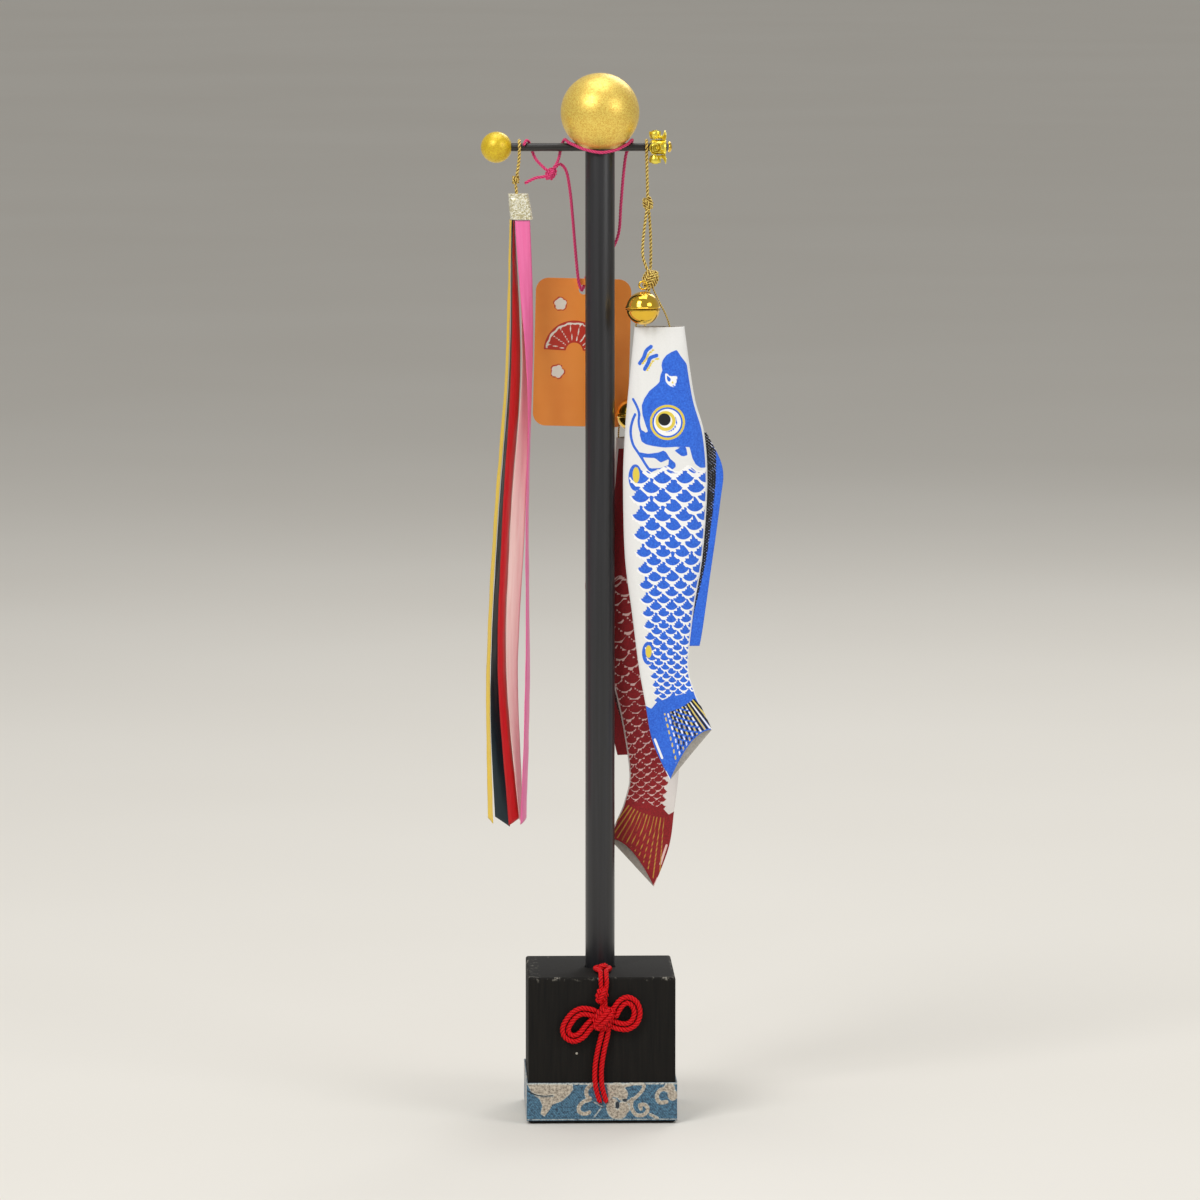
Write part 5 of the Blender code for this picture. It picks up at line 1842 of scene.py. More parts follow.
@dataclass
class Carp:
    """One cloth carp: an open printed tube, flat at the tail, with a fin sewn along its back."""

    tone: str
    mouth: Place
    mirrored: bool
    tilt: float
    body: Body
    finish: PrintedCrepe
    lining: PlainCrepe
    rim: float  # how thick each scale's pale rim is, as a share of the scale
    rim_from: float  # how far down the scale its rim begins, as a share of its height
    crown: float  # where the ink of the back begins below the mouth, in mm
    eye_slide: float = 0.0  # how far its eye is printed nearer the belly, in mm
    plain_rays: bool = False  # whether the tail's rays are thin unbroken gold lines
    grid: float = 0.42
    rows: tuple[tuple[float, float, float, float, float], ...] = (
        (-7.6, 0.0, 7.6, 0.0, 2.6),
        (-9.6, -20.9, 10.6, -20.9, 3.9),
        (-10.6, -33.1, 13.8, -33.1, 4.1),
        (-11.1, -48.6, 14.7, -48.6, 4.2),
        (-10.5, -70.8, 13.2, -70.8, 3.8),
        (-8.4, -87.5, 10.5, -87.5, 3.0),
        (-6.3, -104.1, 9.0, -104.1, 1.9),
        (-4.3, -115.5, 11.0, -112.5, 1.4),
        (-2.0, -127.6, 13.4, -117.8, 1.1),
        (3.3, -139.4, 16.3, -124.0, 0.8),
    )
    notch: float = 4.0
    fin: tuple[Flat, ...] = (
        (14.1, -31.9), (19.3, -43.1), (18.6, -54.2), (15.6, -76.3), (12.3, -98.3), (9.9, -98.6)
    )

    def row(self, position: np.ndarray) -> np.ndarray:
        """Left x, z, right x, z and half depth at positions counted in rows from the mouth."""
        table = np.array(self.rows)
        last = len(table) - 1
        at = np.minimum(position.astype(int), last - 1)
        t = (position - at)[:, None]
        a, b, c, d = (table[np.clip(at + k, 0, last)] for k in (-1, 0, 1, 2))
        return 0.5 * (
            2 * b + (c - a) * t + (2 * a - 5 * b + 4 * c - d) * t**2
            + (3 * b - a - 3 * c + d) * t**3
        )

    def flat(
        self, across: np.ndarray, position: np.ndarray
    ) -> tuple[np.ndarray, np.ndarray, np.ndarray]:
        """x, z and half depth in mm on the flat tube; across is -1 at the belly, 1 at the back."""
        picked = self.row(position)
        share = (across + 1) / 2
        tail = np.maximum(0.0, (position - 6) / (len(self.rows) - 7))
        lift = self.notch * (1 - across**2) * tail**2
        x = picked[:, 0] + (picked[:, 2] - picked[:, 0]) * share
        z = picked[:, 1] + (picked[:, 3] - picked[:, 1]) * share + lift
        return x, z, picked[:, 4]

    def edges(self, z: np.ndarray) -> tuple[np.ndarray, np.ndarray]:
        """The belly's and the back's x at heights in mm."""
        places = np.linspace(0, len(self.rows) - 1, 400)
        left = self.flat(np.full(400, -1.0), places)
        right = self.flat(np.full(400, 1.0), places)
        return np.interp(-z, -left[1], left[0]), np.interp(-z, -right[1], right[0])

    def place(self) -> Matrix:
        """Where the carp hangs, from mm of its own drawing."""
        flip = Matrix.Diagonal((-1 if self.mirrored else 1, 1, 1, 1))
        return Matrix.Translation(
            Vector(self.mouth)
        ) @ Matrix.Rotation(self.tilt, 4, "Y") @ flip @ Matrix.Scale(MM, 4)

    def scales(self, at: np.ndarray) -> tuple[np.ndarray, np.ndarray, np.ndarray]:
        """The overlapping scales, graded in size from head to tail.

        Args:
            at: x and z in mm on the flattened tube.

        Returns:
            How far inside its scale's rim each point lies, how far inside the rim's pale crescent,
            and the middle x of the scale.
        """
        heights = np.array([-36.0, -46.0, -60.0, -75.0, -88.0, -100.0, -112.0, -122.0, -145.0])
        tall = np.array([3.0, 2.95, 2.9, 2.5, 1.95, 1.55, 1.2, 1.1, 1.1])
        wide = np.array([6.9, 6.9, 6.4, 5.4, 4.6, 3.9, 3.2, 3.0, 3.0])
        lean = np.array([4.3, 4.3, 4.2, 3.9, 3.6, 3.5, 4.3, 5.2, 6.0])
        levels = np.linspace(-36.0, -145.0, 600)
        rows = np.concatenate(
            [[0.0], np.cumsum(np.diff(-levels) / np.interp(-levels[1:], -heights, tall))]
        )
        row_of = np.interp(-at[:, 1], -levels, rows)
        rim = np.full(len(at), -9.0)
        crescent = np.full(len(at), -9.0)
        middle = np.zeros(len(at))
        done = np.zeros(len(at), bool)
        for back in (3, 2, 1, 0, -1):
            row = np.floor(row_of) - back
            level = np.interp(row, rows, levels)
            width = np.interp(-level, -heights, wide)
            centre = np.interp(-level, -heights, lean)
            half = width / 2
            odd = np.mod(row, 2) * 0.5
            column = np.round((at[:, 0] - centre) / width - odd)
            x = centre + (column + odd) * width
            dx = (at[:, 0] - x) / (1.03 * half)
            dz = (level - at[:, 1]) / (1.12 * half)
            inside = (1 - np.hypot(dx, np.maximum(dz, 0.0))) * half
            hit = (inside > 0) & ~done & (row >= 0)
            lift = 0.7 * self.rim
            arc = (np.hypot(dx, np.maximum(dz + lift, 0.0)) - (1.0 - 0.3 * self.rim)) * half
            arc = np.minimum(arc, (dz - self.rim_from) * half)
            rim[hit] = inside[hit]
            crescent[hit] = arc[hit]
            middle[hit] = x[hit]
            done |= hit
        return rim, crescent, middle

    def drawing(self, x: np.ndarray, z: np.ndarray, to_end: np.ndarray) -> dict[str, np.ndarray]:
        """The print: ink areas, pale lines, gold and black, as distances inside each, in mm.

        Args:
            x: across the flattened tube.
            z: down it.
            to_end: how far each point is from the tail's open end.

        Returns:
            The fields by name.
        """
        at = np.stack([x, z], axis=1)
        _, back = self.edges(z)
        from_back = back - x
        head = shape(
            at,
            (
                (5.2, -6.9), (3.7, -7.5), (2.0, -8.5), (0.9, -10.0), (0.5, -11.5), (0.8, -13.1),
                (0.2, -14.6), (-0.1, -16.7), (-1.0, -17.6), (-3.2, -19.4), (-4.7, -21.7),
                (-5.5, -23.8), (-5.3, -26.6), (-4.4, -29.6), (-3.6, -31.8), (-4.2, -32.2),
                (-5.0, -31.6), (-5.9, -31.2), (-6.1, -33.0), (-5.5, -34.9), (-4.1, -35.8),
                (-1.7, -36.3), (1.4, -36.7), (5.0, -36.5), (9.1, -36.6), (10.0, -40.1),
                (11.0, -42.0), (12.5, -43.1), (20.0, -43.1), (20.0, -14.0), (9.0, -12.5),
                (7.8, -10.6), (6.6, -9.1),
            )
        )
        gill = shape(
            at,
            (
                (-6.7, -38.1), (-3.5, -38.6), (-0.4, -38.2), (1.3, -37.5), (2.0, -38.2),
                (3.2, -40.1), (4.8, -41.5), (4.9, -42.6), (3.5, -43.7), (2.0, -43.4), (-0.4, -43.4),
                (-2.6, -44.2), (-3.5, -43.1), (-0.1, -43.0), (2.6, -42.1), (2.8, -40.2),
                (0.2, -41.3), (-1.4, -39.9), (-4.1, -39.8), (-5.7, -39.6),
            )
        )
        petal = shape(
            at, ((4.5, -37.6), (6.3, -36.7), (8.1, -36.7), (8.5, -39.1), (6.9, -39.5), (5.4, -38.4))
        )
        whiskers = over(
            stroke(
                at,
                (
                    (-8.1, -22.0), (-7.0, -24.1), (-6.3, -26.3), (-6.4, -29.0), (-6.0, -31.2),
                    (-5.3, -33.0)
                ),
                0.75
            ),
            stroke(
                at,
                (
                    (-7.5, -26.6), (-8.3, -28.7), (-8.8, -31.2), (-8.7, -33.6), (-8.0, -36.1),
                    (-6.7, -38.1), (-5.4, -40.1), (-4.1, -42.2), (-2.7, -44.1)
                ),
                0.78
            ),
        )
        dashes = over(
            stroke(at, ((-2.6, -5.9), (-4.1, -7.2), (-4.9, -9.3), (-6.1, -11.1)), 1.15),
            stroke(at, ((-0.9, -8.6), (-2.9, -9.4), (-3.5, -10.9), (-4.6, -12.8)), 1.15),
        )
        sparks = over(
            stroke(at, ((-1.9, -6.9), (-3.4, -8.2), (-4.0, -9.5), (-5.3, -11.2)), 0.65),
            stroke(at, ((-0.3, -9.5), (-2.1, -10.3), (-3.0, -11.8), (-3.9, -13.2)), 0.65),
        )
        rim, crescent, middle = self.scales(at)
        left = np.interp(
            -z, (36.0, 46.0, 60.0, 71.0, 87.0, 95.0, 103.0, 112.0, 118.0),
            (-7.2, -6.6, -5.9, -4.8, -4.0, -3.4, -2.4, -1.0, -0.4)
        )
        lower_head = -43.6 + 0.10 * np.minimum(0.0, x - 3.0) + 0.9 * np.sin(0.9 * x)
        tail_top = np.interp(
            x, (-5.0, -2.4, -0.9, 3.0, 12.0), (-116.0, -117.3, -115.4, -113.8, -111.6)
        )
        scaled = (z < lower_head) & (middle > left) & (z > tail_top)
        scale_ink = np.where(scaled, np.minimum(rim + 0.3, -crescent), -1.0)
        tail = np.clip(tail_top - z, -1.0, 1.0)
        band = np.minimum(
            self.crown - z, 8.0 - from_back
        ) if self.crown < 0 else np.full_like(z, -1.0)
        head = over(head, np.where(z > lower_head, band, -1.0))
        ovals = over(disc(at, (-7.4, -46.0), 2.1, 4.1), disc(at, (-3.4, -100.1), 1.9, 3.6))
        ink = over(head, gill, petal, whiskers, dashes, scale_ink, tail, ovals)
        ink = np.minimum(ink, from_back - np.interp(-z, (0, 30, 60, 110), (0.9, 0.7, 0.5, 0.35)))
        eye = (2.35, -29.0)
        seen = at + np.array((self.eye_slide, 0.0))
        white_eye = over(ring(seen, eye, 3.55, 1.15), disc(seen, (1.8, -28.6), 3.1))
        nostril = np.minimum(
            over(
                stroke(at, ((1.9, -14.2), (2.2, -16.6), (4.2, -18.0), (5.1, -15.7)), 0.55),
                stroke(at, ((1.9, -14.2), (3.4, -15.2), (5.2, -14.9)), 0.5),
                disc(at, (3.6, -16.5), 1.15),
            ),
            -over(disc(at, (2.9, -15.9), 0.5, 0.7)),
        )
        edge_line = 0.2 - np.abs(np.abs(z - lower_head) - 0.35)
        line = over(white_eye, nostril, np.where((z < -60) | (x < -5), -1.0, edge_line))
        line = over(line, np.where(scaled & (rim > 0), crescent, -1.0))
        line = over(
            line, stroke(at, ((-1.3, -127.0), (0.9, -132.6)), 0.7),
            stroke(at, ((1.9, -136.9), (3.2, -139.4)), 0.8)
        )
        gold = over(
            sparks,
            ring(seen, eye, 5.02, 0.75),
            ring(seen, (1.75, -28.55), 2.55, 1.0),
            disc(at, (3.9, -16.8), 0.42),
            disc(at, (-7.2, -45.2), 1.05, 2.5),
            disc(at, (-3.3, -99.6), 0.95, 2.0),
        )
        dark = disc(seen, (1.4, -28.1), 1.9)
        rays = self.rays(at, to_end)
        return {
            "ink": ink, "line": over(line, rays[0]), "gold": over(gold, rays[1]),
            "dark": over(dark, rays[2])
        }

    def rays(self, at: np.ndarray, to_end: np.ndarray) -> tuple[np.ndarray, np.ndarray, np.ndarray]:
        """The tail's fan of rays: pale dashes, gold dashes and the dark net between them.

        Args:
            at: x and z in mm on the flattened tube.
            to_end: how far each point is from the tail's open end.

        Returns:
            Distances inside the pale, the gold and the dark marks.
        """
        away = at - np.array((-3.6, -97.4))
        angle = np.degrees(np.arctan2(away[:, 0], -away[:, 1]))
        far = np.hypot(away[:, 0], away[:, 1])
        if self.plain_rays:
            fan = np.minimum.reduce(
                [far - 21.0, to_end - 1.6, (angle - 7.0) / 57.3 * far, (41.0 - angle) / 57.3 * far]
            )
            fine = np.minimum(0.19 - np.abs((np.mod(angle, 2.9) - 1.45) / 57.3 * far), fan)
            none = np.full(len(at), -1.0)
            return none, fine, none
        spacing = 2.5
        which = np.floor(angle / spacing)
        off = (np.mod(angle, spacing) - spacing / 2) / 57.3 * far
        zone = np.minimum.reduce(
            [far - 22.0, to_end - 1.1, (angle - 13.0) / 57.3 * far, (40.5 - angle) / 57.3 * far]
        )
        beat = np.abs(np.mod(far / 2.0 + 0.5 * which, 1.0) - 0.5)
        solid = np.clip((angle - 31.0) / 3.0, 0, 1)
        dash = (0.33 + 0.3 * solid - beat) * 2.0
        pale = np.minimum.reduce([0.27 - 0.06 * solid - np.abs(off), dash, zone])
        gap = spacing / 57.3 * far / 2
        border = np.round(angle / spacing)
        beat = np.abs(np.mod(far / 2.0 + 0.5 * border + 0.25, 1.0) - 0.5)
        between = 0.31 - np.abs(np.abs(off) - gap)
        dark = np.minimum.reduce([between, (0.36 + 0.3 * solid - beat) * 2.0, zone, angle - 17.0])
        golden = np.mod(which, 2) == 1
        return np.where(golden, -1.0, pale), np.where(golden, pale, -1.0), dark

    def build_cloth(self) -> bpy.types.Object:
        """Builds the printed tube and its fin as one sewn piece."""
        last = len(self.rows) - 1
        body, tail = np.linspace(0, 6.9, round(105 / self.grid)), np.linspace(
            6.9, last, round(28 / (0.68 * self.grid))
        )
        places = np.concatenate([body, tail[1:]])
        columns = 56
        turn = np.linspace(0, math.pi, columns + 1)
        fronts = []
        for side in (1, -1):
            across = np.tile(
                -np.cos(turn if side < 0 else turn[::-1])[: columns], len(places)
            ).reshape(len(places), columns)
            fronts.append((side, across))
        across = np.concatenate([fronts[1][1], fronts[0][1]], axis=1)
        sign = np.tile(np.concatenate([np.full(columns, -1.0), np.full(columns, 1.0)]), len(places))
        position = np.repeat(places, 2 * columns)
        flat_across = across.reshape(-1)
        x, z, depth = self.flat(flat_across, position)
        # the layer behind is cut less deeply at the tail, so its lining shows below the front one
        tail = np.maximum(0.0, (position - 6) / (last - 6))
        z -= np.where(sign > 0, 1.0 * self.notch * (1 - flat_across**2) * tail**2, 0.0)
        full = 0.06 + 0.94 * np.sqrt(np.maximum(0.0, 1 - flat_across**2))
        edge = np.isclose(np.abs(flat_across), 1.0)
        y = sign * depth * np.where(edge, 0.0, full)
        y += self.folds(x, z, flat_across)
        rim = np.clip(1 - np.abs(z) / 1.6, 0, 1)
        y *= 1 + 0.05 * rim
        to_end = (last - position) * 10.5
        number = np.arange(len(x)).reshape(len(places), 2 * columns)
        round_next = np.roll(number, -1, axis=1)
        faces = np.stack(
            [number[:-1], number[1:], round_next[1:], round_next[:-1]], axis=-1
        ).reshape(-1, 4)
        cloth = mesh_piece(f"{self.tone}_carp_tube", np.stack([x, y, z], axis=1), faces)
        for field, values in self.drawing(x, z, to_end).items():
            store(cloth, field, values)
        printed = self.finish.make()
        cloth.data.materials.append(printed)
        cloth.data.materials.append(self.lining.make())
        apply(cloth, "SOLIDIFY", thickness=0.22, offset=-1.0, material_offset=1)
        fin = self.build_fin()
        fin.data.materials.append(printed)
        piece = join(f"{self.tone}_carp_cloth", [cloth, fin])
        piece.data.transform(self.place())
        if self.mirrored:
            piece.data.flip_normals()
        piece.data.update()
        return piece

    def folds(self, x: np.ndarray, z: np.ndarray, across: np.ndarray) -> np.ndarray:
        """Soft folds in mm: gathers under the mouth, long waves and a ripple at the tail."""
        waves = np.empty(len(x))
        for i, (a, b) in enumerate(zip(x, z)):
            waves[i] = noise.noise(
                Vector((0.16 * a, 0.035 * b, 1.7))
            ) + 0.35 * noise.noise(Vector((0.55 * a, 0.16 * b, 7.1)))
        fade = 1 - across**2
        gathers = 0.16 * np.sin(2.3 * x) * np.exp(z / 6.0)
        tail = np.clip((-z - 95) / 40, 0, 1)
        ripple = 0.9 * tail * np.sin(0.42 * x - 0.16 * z + 0.6)
        return fade * (0.5 * waves + gathers) + ripple

    def build_fin(self) -> bpy.types.Object:
        """The fin's cloth, drawn with a border and fine slanting rays."""
        outline = smooth_route([(a, 0.0, b) for a, b in self.fin], 0.5)
        heights = np.array([p.z for p in outline])
        reach = np.array([p.x for p in outline])
        order = np.argsort(-heights)
        levels = np.arange(-32.4, -98.2, -0.45)
        far = np.interp(-levels, -heights[order], reach[order])
        _, near = self.edges(levels)
        near = near - 0.35
        far = np.maximum(far, near + 0.2)
        columns = 16
        points, values = [], {"ink": [], "line": [], "gold": [], "dark": []}
        for level, a, b in zip(levels, near, far):
            for column in range(columns + 1):
                share = column / columns
                x = a + (b - a) * share
                points.append((x, 0.25 * math.sin(0.5 * level) * share * (1 - 0.3 * share), level))
                width = b - a
                ray = abs(((x * 0.9 + level * 1.15) / 1.05) % 1.0 - 0.5)
                inner = float(
                    np.interp(
                        -level, (33, 38, 48, 58, 70, 84, 95), (1.6, 3.3, 2.9, 2.3, 1.7, 0.9, 0.0)
                    )
                ) - share * width
                values["ink"].append(1.0)
                values["dark"].append(inner)
                values["line"].append(-1.0)
                values["gold"].append(-1.0)
                if inner > 0 and ray < 0.17:
                    values["line"][-1] = 0.17 - ray
                    values["dark"][-1] = -0.1
        number = np.arange(len(points)).reshape(-1, columns + 1)
        quads = np.stack(
            [number[:-1, :-1], number[1:, :-1], number[1:, 1:], number[:-1, 1:]], axis=-1
        ).reshape(-1, 4)
        fin = mesh_piece(f"{self.tone}_fin_sheet", np.array(points), quads)
        for field, kept in values.items():
            store(fin, field, np.array(kept))
        apply(fin, "SOLIDIFY", thickness=0.45, offset=0.0)
        return fin

    def build(self) -> None:
        piece = self.build_cloth()
        take_place(piece, self.body, f"{self.tone}_carp_body", f"{self.tone}_carp_fin")


@dataclass
class HungCarps:
    """The gold cords and knots that the two carps and their bells hang from."""

    cord: float = 1.0 * MM
    thread: float = 0.6 * MM

    def build(self, cordage: Cordage) -> None:
        """Builds the cords, the knots and the bells."""
        gold = CordColour.GOLD
        top = (14.5 * MM, 0.0, BAR.z - 14.1 * MM)
        loop = bar_loop(14.2 * MM, top, 0.65 * MM)
        loop = [loop[0] - Vector((0, 0, 1.6 * MM)), *loop, loop[-1] - Vector((0, 0, 1.6 * MM))]
        hanger = cordage.cord(
            "carp_loop_cord", gold, loop, self.cord, Body.STAND, ["carp_hanging_loop"]
        )
        cordage.knot(
            "carp_upper_knot", gold, self.at((14.6, 0, -17.2)), (4.4 * MM, 3.8 * MM, 4.8 * MM),
            self.cord, Body.STAND, -12, 60
        )
        self.blue(cordage)
        self.red(cordage)
        plate = PlatedGold("polished_bell_gold", "#F2C43A", 0.1).make()
        Bell("blue", self.at((12.9, -8.3, -48.6)), Body.BLUE, "blue_pellet").build(plate)
        Bell("red", self.at((10.2, 4.3, -82.2)), Body.RED, "red_pellet").build(plate)

    def at(self, offset: Place) -> Place:
        """A place given in mm from the crossbar's middle, in metres."""
        return tuple(BAR + Vector(offset) * MM)

    def blue(self, cordage: Cordage) -> None:
        """The blue carp's cord, knot and mouth threads."""
        gold = CordColour.GOLD
        route = (
            (14.5, -0.5, -18.2), (14.1, -1.0, -20.2), (13.5, -1.9, -24.5), (13.0, -2.6, -29.5),
            (13.0, -2.9, -33.0), (13.9, -3.0, -36.1), (14.9, -3.0, -38.4)
        )
        cordage.cord(
            "blue_hanging_cord", gold, [self.at(p) for p in route], self.cord, Body.BLUE,
            ["blue_carp_cord"]
        )
        cordage.knot(
            "blue_carp_knot", gold, self.at((15.3, -3.0, -40.1)), (6.0 * MM, 4.4 * MM, 6.8 * MM),
            self.cord, Body.BLUE, 24, -48, 2
        )
        threads = {
            "left": (
                (14.9, -2.8, -41.8), (14.0, -2.6, -43.7), (12.6, -2.2, -47.5), (11.3, -3.0, -51.0),
                (10.9, -4.4, -54.0), (11.0, -4.7, -55.8)
            ),
            "right": (
                (15.7, -2.8, -41.8), (16.4, -2.6, -43.7), (18.2, -2.6, -47.5), (20.0, -3.2, -51.0),
                (21.0, -4.4, -54.0), (21.2, -4.7, -55.8)
            ),
        }
        for side, points in threads.items():
            cordage.cord(
                f"blue_{side}_thread", gold, [self.at(p) for p in points], self.thread, Body.BLUE,
                [f"blue_mouth_thread_{side}"]
            )

    def red(self, cordage: Cordage) -> None:
        """The red carp's cord, knot and mouth threads."""
        gold = CordColour.GOLD
        route = [
            self.at(p)
            for p in (
                (14.7, 0.5, -18.2), (15.0, 1.0, -20.2), (15.5, 2.4, -27.0), (15.6, 3.8, -36.0),
                (15.0, 5.2, -46.0), (13.8, 6.2, -56.0), (12.4, 6.8, -65.0), (11.6, 6.9, -70.2),
                (11.4, 6.9, -72.4),
            )
        ]
        hung = cordage.cord("red_hanging_cord", gold, route, self.cord, Body.RED, ["red_carp_cord"])
        cordage.knot(
            "red_carp_knot", gold, self.at((11.4, 6.9, -74.0)), (5.2 * MM, 3.8 * MM, 6.2 * MM),
            self.cord, Body.RED, -20, 52, 2
        )
        threads = {
            "left": (
                (11.0, 7.6, -75.4), (10.2, 8.7, -77.3), (8.2, 10.2, -81.5), (6.4, 9.6, -85.4),
                (5.9, 8.4, -88.6), (6.0, 7.7, -90.4)
            ),
            "right": (
                (11.8, 7.6, -75.4), (12.6, 8.7, -77.3), (15.6, 10.2, -81.5), (18.0, 9.6, -85.2),
                (18.8, 8.4, -87.8), (18.8, 7.7, -89.8)
            ),
        }
        for side, points in threads.items():
            cordage.cord(
                f"red_{side}_thread", gold, [self.at(p) for p in points], self.thread, Body.RED,
                [f"red_mouth_thread_{side}"]
            )


# ---- flower wheel ------------------------------------------------------------------------------


@dataclass
class FlowerWheel:
    """The stamped gold wheel on the bar: a hub, a star of leaves and four rolled roses."""

    start: float = 15.6 * MM
    hub: float = 4.6 * MM
    bore: float = 1.55 * MM
    wall: float = 0.7 * MM
    reach: float = 6.6 * MM
    leaves: int = 8
    rose: float = 4.4 * MM
    roses: int = 4
    set_back: float = 1.35 * MM
    leaf_columns: int = 16
    leaf_rings: int = 14
    side_short: float = 1.5 * MM  # how much shorter a leaf between two roses is
    notch: float = 2.4 * MM  # how far the gaps between leaves reach in
    back_curl: float = 2.3 * MM
    tip_curl: float = 0.9 * MM
    vein: float = 0.3 * MM

    def build(self) -> None:
        """Builds the wheel's pieces."""
        plate = PlatedGold("stamped_gold_foil", "#FBE860", 0.3, 0.9).make()
        self.make_hub(plate)
        self.make_leaves(plate)
        for index in range(self.roses):
            self.make_rose(plate, index)

    def make_hub(self, plate: bpy.types.Material) -> None:
        """The short tube on the bar, with a rolled edge at each end."""
        deselect()
        bpy.ops.mesh.primitive_torus_add(
            major_radius=self.bore + self.wall / 2, minor_radius=self.wall / 2, major_segments=48,
            minor_segments=16, rotation=(0, math.pi / 2, 0)
        )
        hub = settle(bpy.context.active_object)
        hub.name = "hub_tube"
        for vert in hub.data.vertices:
            side = (
                self.start + self.wall / 2
                if vert.co.x < 0 else self.start + self.hub - self.wall / 2
            )
            vert.co.x += side
        hub.data.transform(Matrix.Translation(BAR))
        smooth(hub, 60)
        dress(hub, plate)
        take_place(hub, Body.WHEEL, "wheel_hub")

    def make_leaves(self, plate: bpy.types.Material) -> None:
        """A ring of veined leaves, each hollowed along its middle and curled out at its tip."""
        inner = self.bore + self.wall + 0.3 * MM
        base_x = self.start + self.hub - 0.9 * MM
        rings, columns = self.leaf_rings, self.leaves * self.leaf_columns
        points = []
        for row in range(rings + 1):
            share = row / rings
            for column in range(columns):
                a = 2 * math.pi * column / columns
                leaf = abs((column / self.leaf_columns) % 1.0 - 0.5) * 2
                lobe = 1 - leaf**1.5
                beside = (column // self.leaf_columns) % 2 == 1
                shorter = self.side_short if beside else 0.0
                far = inner + (self.reach - shorter - self.notch * (1 - lobe) - inner) * share
                # leaves between the roses curl back beside them, and the others curl out at their
                # tips
                curl = -self.back_curl * share**1.4 if beside else self.tip_curl * share**2
                curl *= 0.4 + 0.6 * lobe
                vein = self.vein * share * (1 - leaf) * abs(math.cos(math.pi * leaf))
                turn = a + math.pi / self.leaves
                points.append((base_x + curl - vein, far * math.cos(turn), far * math.sin(turn)))
        number = np.arange(len(points)).reshape(rings + 1, columns)
        turned = np.roll(number, -1, axis=1)
        faces = np.stack([number[:-1], number[1:], turned[1:], turned[:-1]], axis=-1).reshape(-1, 4)
        piece = mesh_piece("leaf_star", np.array(points), faces)
        apply(piece, "SOLIDIFY", thickness=0.22 * MM, offset=0.0)
        piece.data.transform(Matrix.Translation(BAR))
        smooth(piece, 50)
        dress(piece, plate)
        take_place(piece, Body.WHEEL, "wheel_leaves")

    def make_rose(self, plate: bpy.types.Material, index: int) -> None:
        """One rose, rolled from a strip: a spiral of petals that open outwards.

        Args:
            plate: the gold foil.
            index: which of the roses, counted round the bar.
        """
        radius = self.rose / 2
        rows, columns = 10, 150
        turns = 2.75
        points = []
        for row in range(rows + 1):
            up = row / rows
            for column in range(columns + 1):
                t = column / columns
                a = 2 * math.pi * turns * t
                petal = 0.5 + 0.5 * math.cos(a * 1.5 + 0.8)
                open_out = 0.6 + 0.4 * math.sin(math.pi * (0.15 + 0.55 * up))
                around = radius * (0.08 + (0.88 + 0.06 * petal * up**2) * t) * open_out
                high = radius * (0.05 + (1.2 - 0.25 * t**2) * up * (0.95 + 0.05 * petal))
                points.append((around * math.cos(a), around * math.sin(a), high))
        number = np.arange(len(points)).reshape(rows + 1, columns + 1)
        quads = np.stack(
            [number[:-1, :-1], number[:-1, 1:], number[1:, 1:], number[1:, :-1]], axis=-1
        ).reshape(-1, 4)
        piece = mesh_piece(f"rolled_rose_{index + 1}", np.array(points), quads)
        apply(piece, "SOLIDIFY", thickness=0.13 * MM, offset=0.0)
        base = self.bore + self.wall + 0.2 * MM
        middle = BAR + Vector((self.start + self.set_back, 0, 0))
        lift = Matrix.Translation(Vector((0, 0, base)))
        turn = Matrix.Rotation(2 * math.pi * index / self.roses, 4, "X")
        piece.data.transform(Matrix.Translation(middle) @ turn @ lift)
        smooth(piece, 60)
        dress(piece, plate)
        take_place(piece, Body.WHEEL, f"wheel_rose_{index + 1}")


# ---- card tag ----------------------------------------------------------------------------------


